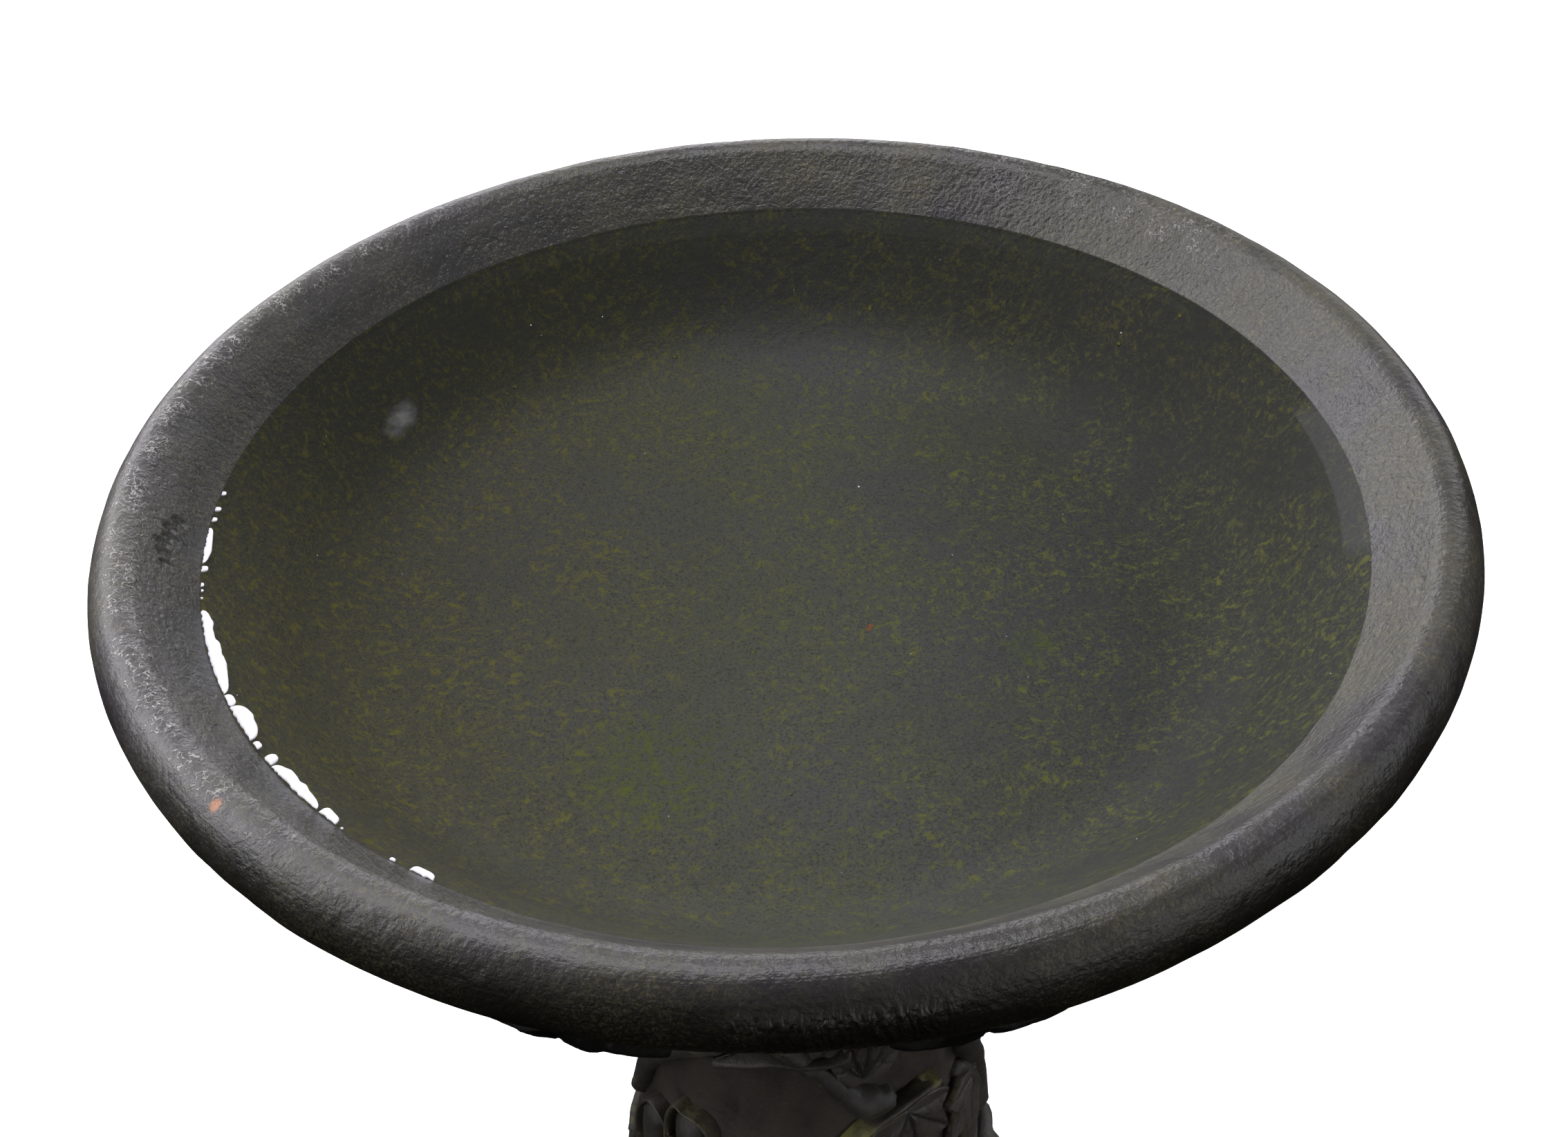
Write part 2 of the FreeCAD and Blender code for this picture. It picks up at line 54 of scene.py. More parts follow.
# %% [markdown]
# ## Sizes
# The outside sizes are read from the frame. The radii of the curves are the casting's own drawing sizes,
# written once here in metres.

# %% Sizes of the basin
bowl_r = (basin_high.x - basin_low.x) / 2
rim_top = basin_high.z
roll_r = 0.020
crest_r = 0.0095
crest_turn = math.radians(50.0)
rim_r = bowl_r - roll_r
rim_z = rim_top - crest_r - (roll_r - crest_r) * math.sin(crest_turn)
floor_depth = 0.078
inner_slope = math.radians(50.0)
inner_corner_r = 0.060
floor_fall = math.radians(3.0)
wall_lean = math.radians(27.0)
roll_undercut = math.radians(12.0)
outer_corner_r = 0.072
seat_z = ring_high.z
seat_r = 0.104
socket_r = 0.062
socket_z = column_high.z + 0.0025
water_z = rim_top - 0.0245
print("rim %.4f m to its middle, water level %.4f m" % (rim_r, water_z))

# %% Sizes of the column
top_z = ring_low.z
foot_r = (column_high.x - column_low.x) / 2
foot_height, foot_bevel = 0.030, 0.005
root_r = 0.123
ankle_r, ankle_z = 0.100, 0.090
waist_r, waist_z = 0.080, 0.345
capital_r, capital_band, capital_bevel = 0.110, 0.009, 0.004
band_z = top_z - capital_bevel - capital_band
tenon_r, tenon_draft = 0.060, 0.002
core_r, core_top_r, core_z = 0.028, 0.022, 0.400
print("column %.3f m high with its tenon" % column_high.z)

# %% [markdown]
# ## Turned profiles
# Anything made on a wheel is a profile carried round an axis. The profile is a line of points in the
# radius-height plane. Straight stretches and arcs are joined end to end, each with as many points as its
# length deserves, because relief is cut into the points later.


# %% Profile helpers
def straight(a, b, spacing):
    """Points from a to b, evenly spaced, without the last one."""
    a, b = np.array(a, float), np.array(b, float)
    count = max(1, int(np.ceil(np.linalg.norm(b - a) / spacing)))
    t = np.arange(count)[:, None] / count
    return a + (b - a) * t


def chain(start, *corners):
    """Straight stretches from a start through corners, each (radius, height, spacing on the way to it)."""
    ends = [start, *corners]
    return np.vstack([straight(a[:2], b[:2], b[2]) for a, b in zip(ends, corners)])


def bend(centre, radius, start, end, spacing):
    """Points on an arc: centre plus radius times (cos, sin) of an angle that runs from start to end."""
    count = max(1, int(np.ceil(abs(end - start) * radius / spacing)))
    a = start + (end - start) * np.arange(count) / count
    return np.array(centre) + radius * np.column_stack([np.cos(a), np.sin(a)])


def arc_length(profile):
    """Distance along the profile from its first point."""
    step = np.linalg.norm(np.diff(profile, axis=0), axis=1)
    return np.concatenate([[0.0], np.cumsum(step)])


def left_normals(profile):
    """Unit normals to the left of the way along the profile, from the slope at each point."""
    t = np.gradient(profile, axis=0)
    t /= np.linalg.norm(t, axis=1, keepdims=True) + 1e-12
    return np.column_stack([-t[:, 1], t[:, 0]])


# %% [markdown]
# ## Random relief
# Stone that was modelled by hand is never even. A smooth random field gives it lumps: every corner of a
# lattice gets a random number, and between the corners the numbers blend smoothly. Adding the field at
# several cell sizes gives both broad waves and small dents.


# %% Random fields
def soft_noise(points, cell, seed):
    """Random number in -1..1 at lattice corners of the given cell size, blended with 3u^2 - 2u^3."""
    p = points / cell
    base = np.floor(p).astype(np.int64)
    u = p - base
    u = u * u * (3 - 2 * u)
    total = np.zeros(points.shape[:-1])
    for corner in np.ndindex(2, 2, 2):
        c = base + np.array(corner)
        mixed = (c[..., 0] * 73856093) ^ (c[..., 1] * 19349663) ^ (c[..., 2] * 83492791) ^ (seed * 2654435)
        mixed = (mixed ^ (mixed >> 13)) * 1274126177 & 0xFFFFFFFF
        number = ((mixed ^ (mixed >> 16)) & 0xFFFFFF) / 0x7FFFFF - 1.0
        weight = np.prod(np.where(np.array(corner) == 1, u, 1 - u), axis=-1)
        total += number * weight
    return total


def smooth_step(x, a, b):
    """0 below a, 1 above b, and 3t^2 - 2t^3 between them."""
    t = np.clip((x - a) / (b - a), 0, 1)
    return t * t * (3 - 2 * t)


# %% [markdown]
# ## Meshes from grids
# Every piece below is a grid of points with rows and columns. Columns close on themselves, and each end of
# the grid shrinks to one point, a pole, so that every skin is closed. A number can be stored at each point
# for a material to read, such as how high the relief stands there.


# %% Mesh helpers
def new_piece(name, points, faces, **labels):
    """A smooth mesh object at the origin, with one named number per point for each label."""
    mesh = bpy.data.meshes.new(name)
    mesh.from_pydata(np.asarray(points, float).reshape(-1, 3), [], [tuple(f) for f in faces])
    mesh.polygons.foreach_set("use_smooth", np.ones(len(mesh.polygons), bool))
    for key, values in labels.items():
        label = mesh.attributes.new(key, "FLOAT", "POINT")
        label.data.foreach_set("value", np.ravel(values).astype(np.float32))
    mesh.update()
    piece = bpy.data.objects.new(name, mesh)
    bpy.context.scene.collection.objects.link(piece)
    return piece


def closed_skin(grid, first_pole, last_pole):
    """Points and faces of a grid (rows, columns, 3) whose columns close and whose ends shrink to poles."""
    rows, columns = grid.shape[:2]
    i, j = np.meshgrid(np.arange(rows - 1), np.arange(columns), indexing="ij")
    row, above, after = i * columns, (i + 1) * columns, (j + 1) % columns
    quads = np.stack([row + j, row + after, above + after, above + j], -1)
    pole, ring = rows * columns, np.arange(columns)
    turn, far = (ring + 1) % columns, (rows - 1) * columns
    start = np.stack([np.full(columns, pole), turn, ring], -1)
    end = np.stack([np.full(columns, pole + 1), far + ring, far + turn], -1)
    points = np.vstack([grid.reshape(-1, 3), first_pole, last_pole])
    return points, quads.reshape(-1, 4).tolist() + start.tolist() + end.tolist()


def with_poles(values, first, last):
    """Numbers on a grid, followed by those of its two poles."""
    return np.concatenate([np.ravel(values), [first, last]])


def joined(skins):
    """Several skins, each (points, faces, label numbers), as one, with the faces renumbered."""
    start, points, faces, labels = 0, [], [], []
    for skin_points, skin_faces, skin_labels in skins:
        points.append(skin_points)
        faces += [tuple(v + start for v in f) for f in skin_faces]
        labels.append(skin_labels)
        start += len(skin_points)
    return np.vstack(points), faces, np.concatenate(labels)


def turned(profile, columns, relief=None):
    """A profile carried round the Z axis: (r cos a, r sin a, z). Its first and last points lie on the axis.
    relief(grid) moves the points along the outward normal. Gives the points, faces and relief."""
    normals = left_normals(profile)[1:-1]
    body = profile[1:-1]
    a = -np.arange(columns) * 2 * np.pi / columns
    spin = np.stack([np.cos(a), np.sin(a)], -1)
    tall = np.broadcast_to(body[:, None, 1:], (len(body), columns, 1))
    lean = np.broadcast_to(normals[:, None, 1:], (len(body), columns, 1))
    grid = np.concatenate([body[:, None, :1] * spin, tall], -1)
    out = np.concatenate([normals[:, None, :1] * spin, lean], -1)
    raised = np.zeros(grid.shape[:2]) if relief is None else relief(grid)
    poles = [[0, 0, profile[k, 1]] for k in (0, -1)]
    return (*closed_skin(grid + out * raised[..., None], *poles), raised)


# %% [markdown]
# ## Camera
# The basin is seen from close by and from above, so the near rim looks much larger than the far one. The
# lens is a little longer than normal, about 41 mm, and the camera leans by two degrees.

# %% Camera
rim_middle = np.array([0.0, 0.0, rim_z])
camera_place = rim_middle + np.array([0.00177, -0.54142, 0.41052])
look = np.array([-0.00298, 0.76424, -0.64492])
up = np.array([0.04056, 0.64449, 0.76354])
right = np.cross(look, up)
camera_data = bpy.data.cameras.new("camera")
camera_data.sensor_width = 36.0
camera_data.lens = 41.13
camera = bpy.data.objects.new("camera", camera_data)
turned_frame = np.eye(4)
turned_frame[:3] = np.column_stack([right, up, -look, camera_place])
camera.matrix_world = Matrix(turned_frame.tolist())
bpy.context.scene.collection.objects.link(camera)
bpy.context.scene.camera = camera
bpy.context.scene.view_settings.view_transform = "Standard"
print("camera %.3f m from the middle of the rim" % np.linalg.norm(camera_place - rim_middle))

# %% [markdown]
# ## Basin
# The basin's profile starts in the middle of the floor and climbs the sloping inner wall. It goes over the
# crest, round the fat roll, down the leaning outer wall, and under to the flat seat and the socket for the
# column's tenon. One closed turned surface keeps the wall's real thickness everywhere.

# %% Basin profile
roll_centre = np.array([rim_r, rim_z])
crest_centre = roll_centre + (roll_r - crest_r) * np.array([math.cos(crest_turn), math.sin(crest_turn)])
wall_up = np.array([math.cos(inner_slope), math.sin(inner_slope)])
wall_end = crest_centre + crest_r * np.array([-wall_up[1], wall_up[0]])
floor_edge_z = rim_top - floor_depth
wall_base_z = floor_edge_z + inner_corner_r * (math.cos(floor_fall) - math.cos(inner_slope))
wall_base = wall_end - wall_up * (wall_end[1] - wall_base_z) / wall_up[1]
floor_edge = (wall_base[0] - inner_corner_r * (math.sin(inner_slope) - math.sin(floor_fall)), floor_edge_z)
corner_centre = wall_base + inner_corner_r * np.array([-wall_up[1], wall_up[0]])
floor_middle = (0.0, floor_edge[1] - floor_edge[0] * math.tan(floor_fall))
wall_top = roll_centre - roll_r * np.array([math.sin(roll_undercut), math.cos(roll_undercut)])
wall_foot_z = seat_z + 0.004 + outer_corner_r * (1 - math.sin(wall_lean))
wall_foot = np.array([wall_top[0] - (wall_top[1] - wall_foot_z) * math.tan(wall_lean), wall_foot_z])
under_centre = wall_foot + outer_corner_r * np.array([-math.cos(wall_lean), math.sin(wall_lean)])
under_edge = (under_centre[0], under_centre[1] - outer_corner_r)
inside = np.vstack([
    straight(floor_middle, floor_edge, 0.0027),
    bend(corner_centre, inner_corner_r, floor_fall - math.pi / 2, inner_slope - math.pi / 2, 0.0022),
    straight(wall_base, wall_end, 0.0017),
])
roll = np.vstack([
    bend(crest_centre, crest_r, math.pi / 2 + inner_slope, crest_turn, 0.0015),
    bend(roll_centre, roll_r, crest_turn, -math.pi / 2 - roll_undercut, 0.0016),
])
outside = np.vstack([
    straight(wall_top, wall_foot, 0.0035),
    bend(under_centre, outer_corner_r, -wall_lean, -math.pi / 2, 0.0035),
    straight(under_edge, (seat_r, seat_z), 0.008),
])
socket = chain(
    (seat_r, seat_z), (socket_r, seat_z, 0.012), (socket_r, socket_z, 0.006), (0.0, socket_z, 0.016))
basin_profile = np.vstack([inside, roll, outside, socket, [[0.0, socket_z]]])
basin_along = arc_length(basin_profile)
crest_along = basin_along[len(inside)] + crest_r * inner_slope
seat_start = basin_along[len(inside) + len(roll) + len(outside) - 3]
print("basin profile: %d points, %.0f mm long" % (len(basin_profile), basin_along[-1] * 1000))

# %% [markdown]
# The relief is only ever cut into the stone, so the basin never grows past its size. It fades out on the
# seat and in the socket, where the rubber ring and the tenon need a true face. The floor under the water
# is the smoothest part, because it was trowelled.


# %% Basin relief
def basin_relief(grid):
    """Broad waves, hand dents and fine grain, each a random field, all pushed below zero."""
    along = basin_along[1:-1, None]
    waves = 0.00045 * (soft_noise(grid, 0.070, 3) - 1)
    dents = 0.00022 * (soft_noise(grid, 0.017, 5) - 1)
    grain = 0.00014 * (soft_noise(grid, 0.008, 7) - 1)
    wall = smooth_step(along, basin_along[len(inside)] - 0.03, basin_along[len(inside)])
    keep = 1 - smooth_step(along, seat_start - 0.02, seat_start)
    return (waves + (0.4 + 0.6 * wall) * (dents + grain)) * keep


basin_columns = 440
points, faces, _ = turned(basin_profile, basin_columns, basin_relief)
along = with_poles(np.repeat(basin_along[1:-1], basin_columns), 0.0, basin_along[-1])
basin = new_piece("stone_basin", points, faces, along=along)
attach(basin, "bowl")
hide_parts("basin")
print("basin: %d faces" % len(faces))

# %% [markdown]
# ## Water
# The water is a real body: a flat top that curls up where it wets the wall, and an underside that lies
# just inside the stone, so no second surface shows. The curl falls off as e to the power of minus the
# distance over a fixed reach, which is how water behaves.

# %% Water body
curl_height, curl_reach, curl_band, into_stone = 0.0006, 0.0018, 0.012, 0.0016
wall_r = wall_end[0] - (wall_end[1] - water_z) / math.tan(inner_slope)
open_water = np.linspace(0, wall_r - curl_band, 40)
across = np.concatenate([open_water, wall_r - curl_band * (1 - np.linspace(0, 1, 26)[1:])])
top_rows = np.column_stack([across, water_z + curl_height * np.exp(-(wall_r - across) / curl_reach)])
shell = inside - left_normals(inside) * into_stone
shell = shell[shell[:, 1] < water_z + curl_height][::-1]
shell[-1, 0] = 0.0
water_profile = np.vstack([top_rows, [[wall_r + into_stone, top_rows[-1, 1]]], shell])
water = new_piece("water", *turned(water_profile, 256)[:2])
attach(water, "bowl")
print("water: %.4f m across, %.1f mm deep" % (2 * wall_r, (water_z - floor_middle[1]) * 1000))

# %% [markdown]
# Along the left wall the water clings in beads, where the stone is still sealed and sheds it. Each bead is
# a low mound along the wall. Its width swells and shrinks along its length, and its wall side is ragged,
# because small bumps of the stone stand through it.

# %% Beads along the wall: start and end in degrees round the wall, and the width in millimetres
WALL_BEADS = [
    (176.7, 177.3, 1.8), (179.3, 179.9, 2.4), (181.0, 181.6, 2.2), (182.6, 188.2, 3.0), (188.7, 189.5, 2.6),
    (191.2, 191.8, 1.7), (192.2, 192.6, 1.2), (193.4, 193.7, 0.9), (195.4, 207.9, 5.0), (208.1, 209.8, 3.2),
    (209.9, 214.9, 5.2), (215.3, 216.3, 2.8), (217.6, 218.8, 3.8), (219.0, 226.0, 4.8), (226.4, 228.6, 3.8),
    (229.2, 229.5, 1.0), (235.0, 235.6, 1.4), (237.2, 239.6, 3.0),
]


def bead_skin(start, end, width, seed):
    """A mound with half-round sections: its width is w (1 - (2t - 1)^4)^0.5 times a slow random swell."""
    t = np.linspace(0.004, 0.996, max(12, int((end - start) * 8)))[:, None]
    s = np.arange(20)[None, :] * 2 * np.pi / 20
    angle = np.radians(start + (end - start) * t)
    line = np.stack([angle[:, 0] * wall_r, 0 * t[:, 0], 0 * t[:, 0]], -1)
    swell = 1 + 0.24 * soft_noise(line, 0.010, seed) + 0.08 * soft_noise(line, 0.003, seed + 1)
    w = 0.00085 * width * np.sqrt(1 - (2 * t - 1) ** 4) * swell[:, None] * 0.5
    ragged = 0.00028 * soft_noise(line, 0.0011, seed + 2)[:, None] * (np.cos(s) > 0)
    radius = wall_r + 0.0006 - w + w * np.cos(s) + ragged
    height = water_z + 0.0004 + 0.55 * w * np.sin(s)
    grid = np.stack([radius * np.cos(angle), radius * np.sin(angle), height], -1)
    ends = [grid[k].mean(axis=0) for k in (0, -1)]
    points, faces = closed_skin(grid[:, ::-1], *ends)
    return points, faces, np.zeros(len(points))


points, faces, _ = joined([bead_skin(*bead, 40 + 3 * k) for k, bead in enumerate(WALL_BEADS)])
beads = new_piece("water_beads", points, faces)
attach(beads, "bowl")
print("beads: %d along the wall" % len(WALL_BEADS))

# %% [markdown]
# ## Leaves
# The vine has five-lobed leaves. A leaf is a surface over two numbers: an angle round the stalk, and a
# share of the way from the stalk to the edge. Main veins run from the stalk to each lobe's tip, side veins
# leave them in a chevron, and the flesh between veins swells up. Each leaf is bent round the stone like
# wet clay, and its edge turns down and sinks into the stone.

# %% Leaf shape
LOBE_TURNS = np.radians([0, 27, 50, 78, 104, 146, 180])
LOBE_REACH = np.array([1.0, 0.62, 0.84, 0.50, 0.62, 0.40, 0.05])
LEAF_SPREAD = 0.86


def leaf_edge(phi, droop, narrow):
    """Distance from the stalk to the edge, as a share of the length. Lobe tips stand at LOBE_TURNS, and the
    edge between a tip and a notch falls as the 1.5th power of the nearness to the tip. droop turns the side
    lobes towards the tip, and narrow pulls them in."""
    turns = LOBE_TURNS * np.array([1, droop, droop, droop, droop, droop, 1])
    reach = LOBE_REACH * np.array([1, narrow, narrow, narrow, narrow, narrow, 1])
    k = np.clip(np.searchsorted(turns, np.abs(phi), side="right") - 1, 0, 5)
    t = (np.abs(phi) - turns[k]) / (turns[k + 1] - turns[k])
    near = np.where(k % 2 == 0, 1 - t, t)
    tip, notch = np.where(k % 2 == 0, reach[k], reach[k + 1]), np.where(k % 2 == 0, reach[k + 1], reach[k])
    eased = np.where(k == 5, 1 - (1 - near) ** 2, near**1.5)
    return notch + (tip - notch) * eased


def leaf_sheet(length, lift, seed, droop=1.0, narrow=1.0, curls=()):
    """The leaf flat on a table: x, y and height on a grid, and how much each point stands out.
    Height is lift, less vein grooves exp(-(distance / half width)^2), plus swells between the veins, plus
    curls (angle, half width, height in mm) that raise part of the edge, all rounded off at the edge."""
    phi = (np.arange(168) + 0.5) * 2 * np.pi / 168 - np.pi
    rho = np.concatenate([np.linspace(0.02, 0.84, 34), np.linspace(0.84, 1, 13)[1:]])[:, None]
    wavy = 0.018 * np.sin(9 * phi + seed) + 0.012 * np.sin(17 * phi + 2 * seed)
    reach = length * leaf_edge(phi, droop, narrow) * (1 + wavy)
    x, y = LEAF_SPREAD * rho * reach * np.sin(phi), rho * reach * np.cos(phi)
    groove, side, nearest = np.zeros_like(x), np.zeros_like(x), np.full_like(x, 1.0)
    for turn in LOBE_TURNS[[0, 2, 4]] * np.array([1, droop, droop]):
        for sign in (1, -1) if turn else (1,):
            ray = np.array([LEAF_SPREAD * math.sin(turn) * sign, math.cos(turn)])
            ray /= np.linalg.norm(ray)
            s, t = x * ray[0] + y * ray[1], x * ray[1] - y * ray[0]
            near = np.where(s > 0, np.abs(t), np.hypot(s, t))
            width = 0.0011 * (1 - 0.5 * np.clip(s / length, 0, 1))
            groove = np.maximum(groove, np.exp(-(near / width) ** 2))
            chevron = (s - 1.1 * np.abs(t)) / 0.0095
            apart = np.abs(chevron - np.round(chevron)) * 0.0095 * 0.67
            mine = (near <= nearest) & (chevron > 0.6)
            side = np.where(mine, np.exp(-(apart / 0.00055) ** 2), np.where(near <= nearest, 0, side))
            nearest = np.minimum(nearest, near)
    from_edge = (1 - rho) * reach
    flat = np.stack([x, y, np.full_like(x, seed * 0.05)], -1)
    height = lift * (0.92 + 0.08 * np.cos(np.pi * rho)) + 0.0016 * (1 - np.exp(-(nearest / 0.0045) ** 2))
    height += 0.0005 * soft_noise(flat, 0.011, seed) + 0.00018 * soft_noise(flat, 0.0035, seed + 1)
    for centre, half, rise in curls:
        off = (phi - math.radians(centre) + np.pi) % (2 * np.pi) - np.pi
        beside = smooth_step(-np.abs(off), -math.radians(half), 0)
        height += 0.001 * rise * smooth_step(rho, 0.55, 0.93) * beside
    height -= (0.0011 * groove + 0.0004 * side) * smooth_step(from_edge, 0.0005, 0.004)
    rounded = np.sqrt(1 - (1 - np.clip(from_edge / 0.0022, 0, 1)) ** 2)
    edge = 1 - smooth_step(from_edge, 0.0003, 0.0014)
    stands = 0.48 + 0.45 * edge - 0.45 * np.maximum(groove, 0.6 * side)
    return x, y, height - 0.0032 * (1 - rounded), np.clip(stands, 0, 1)


# %% [markdown]
# A leaf is laid on a wall by a rule that turns (across, up, height) into a place: on the column, across
# becomes an angle and up becomes a height. Under the basin, up is measured along the profile instead.


# %% Laying a leaf on a wall
def laid_leaf(place, azimuth, up, turn, length, **shape):
    """Turns the flat leaf about the wall's normal, lays it with place(azimuth, up, across, above), and
    closes it with a skirt and a pole sunk into the stone. Its middle is 0.4 of its length from the stalk."""
    x, y, height, stands = leaf_sheet(length, **shape)
    shrink = np.array([0.995, 0.93, 0.5])[:, None]
    x, y = np.vstack([x, shrink * x[-1:]]), np.vstack([y, shrink * y[-1:]])
    height = np.vstack([height, height[-1:] - 0.0009, np.full_like(x[:2], -0.003)])
    stands = np.vstack([stands, np.full_like(x[:3], 0.25)])
    y = y - 0.4 * length
    a = math.radians(turn)
    across, above = x * math.cos(a) + y * math.sin(a), -x * math.sin(a) + y * math.cos(a)
    grid = place(azimuth, up, across, above, height)
    stalk = np.array([[-0.4 * length * math.sin(a)], [-0.4 * length * math.cos(a)]])
    poles = [place(azimuth, up, stalk[0], stalk[1], np.array([h]))[0] for h in (height[0].mean(), -0.004)]
    points, faces = closed_skin(grid, *poles)
    return points, faces, with_poles(stands, 0.3, 0.3)


# %% Column profile: the flare, the shaft and the capital are three arcs that run into one another
shaft_arc = ((ankle_r - waist_r) ** 2 + (waist_z - ankle_z) ** 2) / (2 * (ankle_r - waist_r))
capital_arc = ((capital_r - waist_r) ** 2 + (band_z - waist_z) ** 2) / (2 * (capital_r - waist_r))
capital_turn = math.asin((band_z - waist_z) / capital_arc)
shaft_slope = math.asin((waist_z - ankle_z) / shaft_arc)
flare_chord = math.hypot(root_r - ankle_r, ankle_z - foot_height)
flare_turn = math.atan2(root_r - ankle_r, ankle_z - foot_height) - shaft_slope
flare_arc = flare_chord / (2 * math.sin(flare_turn))
flare_centre = (ankle_r + flare_arc * math.cos(shaft_slope), ankle_z + flare_arc * math.sin(shaft_slope))
flare_start = math.atan2(foot_height - flare_centre[1], root_r - flare_centre[0])
flare_end = math.atan2(ankle_z - flare_centre[1], ankle_r - flare_centre[0])
step = 0.0022
wall_profile = np.vstack([
    bend(flare_centre, flare_arc, flare_start % (2 * math.pi), flare_end % (2 * math.pi), step),
    bend((waist_r + shaft_arc, waist_z), shaft_arc, math.pi + shaft_slope, math.pi, step),
    bend((waist_r + capital_arc, waist_z), capital_arc, math.pi, math.pi - capital_turn, step),
])
foot_profile = chain(
    (core_top_r * 0.5, core_z), (core_top_r, core_z, 0.012), (core_r, 0, 0.02),
    (foot_r - foot_bevel, 0, 0.02), (foot_r, foot_bevel, 0.0025), (foot_r, foot_height - foot_bevel, 0.0025),
    (foot_r - foot_bevel, foot_height, 0.0025), (root_r, foot_height, 0.0025))
top_profile = chain(
    (capital_r, band_z), (capital_r, top_z - capital_bevel, step), (capital_r - capital_bevel, top_z, step),
    (tenon_r, top_z, 0.006), (tenon_r - tenon_draft, column_high.z, 0.004), (0, column_high.z, 0.012))
ends = [[[0.0, core_z]], [[0.0, column_high.z]]]
column_profile = np.vstack([ends[0], foot_profile, wall_profile, top_profile, ends[1]])
print("column profile: %d points" % len(column_profile))


# %% Places on the column
def column_radius(height):
    """Radius of the plain column at a height, read off its profile."""
    return np.interp(height, wall_profile[:, 1], wall_profile[:, 0])


def on_column(azimuth, up, across, above, height):
    """A place on the column: across bends round it, above climbs it, and height stands off it."""
    z = up + above
    angle = math.radians(azimuth) + across / column_radius(up)
    radius = column_radius(z) + height
    return np.stack([radius * np.sin(angle), -radius * np.cos(angle), z], -1)


# %% [markdown]
# ## Column
# The column is one closed turned surface: plinth, flare, waist, capital and tenon, with the hollow core
# that the mould leaves up from the foot. Between the leaves its ground is rough, like bark, so its relief
# is stretched upwards.


# %% Column ground
def column_relief(grid):
    """Bark: ridges that run upwards, from a random field squeezed in height, only on the carved wall."""
    height, radius = grid[..., 2], np.hypot(grid[..., 0], grid[..., 1])
    drawn = grid * np.array([1, 1, 0.3])
    bark = -0.0008 * np.abs(soft_noise(drawn, 0.012, 21)) + 0.0003 * (soft_noise(drawn, 0.0042, 23) - 1)
    wall = smooth_step(height, foot_height, foot_height + 0.012)
    wall = wall * (1 - smooth_step(height, band_z - 0.006, band_z))
    outer = smooth_step(radius, waist_r - 0.01, waist_r - 0.004)
    small = 0.00012 * (soft_noise(grid, 0.006, 25) - 1) * outer * (height < top_z - 0.001)
    return bark * wall * outer + small


column_columns = 300
points, faces, raised = turned(column_profile[::-1], column_columns, column_relief)
ground = with_poles(0.28 + 0.22 * smooth_step(raised, -0.0016, -0.0001), 0.3, 0.3)
trunk = new_piece("column_trunk", points, faces, high=ground)
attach(trunk, "pedestal")
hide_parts("pedestal")
print("column: %d faces" % len(faces))

# %% [markdown]
# Leaves face all ways on the column, as they do on a real vine. Each entry below gives where a leaf lies,
# where its tip turns, and its length. Some have their side lobes drawn up towards the tip, and one has part
# of its edge curled up. The front and the back leaves are two pieces, so that neither mesh grows too large.

# %% Column leaves: degrees from the front, height in mm, turn of the tip from upright, length in mm, shape
FRONT_LEAVES = 7
COLUMN_LEAVES = [
    (20, 337, 8, 60, dict(lift=0.0045, droop=0.50, narrow=0.72)),
    (-8, 353, -98, 64, dict(lift=0.0030, droop=0.85, narrow=0.80)),
    (35, 248, 172, 66, dict(lift=0.0060, droop=0.62, narrow=0.84)),
    (66, 222, -172, 62, dict(lift=0.0050, droop=0.80, narrow=0.80)),
    (-146, 322, 18, 56, dict(lift=0.0060)),
    (-20, 137, 150, 60, dict(lift=0.0075, droop=0.9)),
    (28, 100, -160, 54, dict(lift=0.007)),
    (130, 284, -20, 64, dict(lift=0.0075)),
    (178, 341, 16, 64, dict(lift=0.0075, droop=0.85)),
    (-150, 246, -150, 62, dict(lift=0.0075, curls=((-60, 40, 2.0),))),
    (158, 190, 165, 62, dict(lift=0.0075, droop=0.9)),
    (-114, 118, 140, 56, dict(lift=0.0075)),
    (-164, 133, -25, 62, dict(lift=0.0075, droop=0.9)),
    (112, 85, 160, 54, dict(lift=0.007)),
    (-120, 66, 170, 50, dict(lift=0.007)),
]
leaves = [laid_leaf(on_column, azimuth, z / 1000, turn, length / 1000, seed=60 + 2 * k, **shape)
          for k, (azimuth, z, turn, length, shape) in enumerate(COLUMN_LEAVES)]
vine_leaves = []
for side, part in (("front", leaves[:FRONT_LEAVES]), ("back", leaves[FRONT_LEAVES:])):
    points, faces, stands = joined(part)
    vine_leaves.append(new_piece("vine_leaves_" + side, points, faces, high=stands))
    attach(vine_leaves[-1], "pedestal")
    print("%s leaves: %d with %d faces" % (side, len(part), len(faces)))

# %% [markdown]
# ## Stems
# The stems are round rods pressed half into the stone. A smooth curve runs through a few points, and a
# tube is carried along it. The bark is cut lengthwise, and the ends dive into the stone. Each leaf hangs
# on a thin stalk from the nearest stem.


# %% Stem surfaces
def smooth_path(stations, count):
    """A curve through the stations: between two of them it is the cubic that has, at each station, the
    slope from its neighbour before to its neighbour after."""
    p = np.array(stations, float)
    p = np.vstack([2 * p[0] - p[1], p, 2 * p[-1] - p[-2]])
    t = np.linspace(0, len(stations) - 1.000001, count)
    k, u = t.astype(int), (t % 1)[:, None]
    a, b, c, d = p[k], p[k + 1], p[k + 2], p[k + 3]
    return 0.5 * (2 * b + (c - a) * u + (2 * a - 5 * b + 4 * c - d) * u**2 + (3 * b - a - 3 * c + d) * u**3)


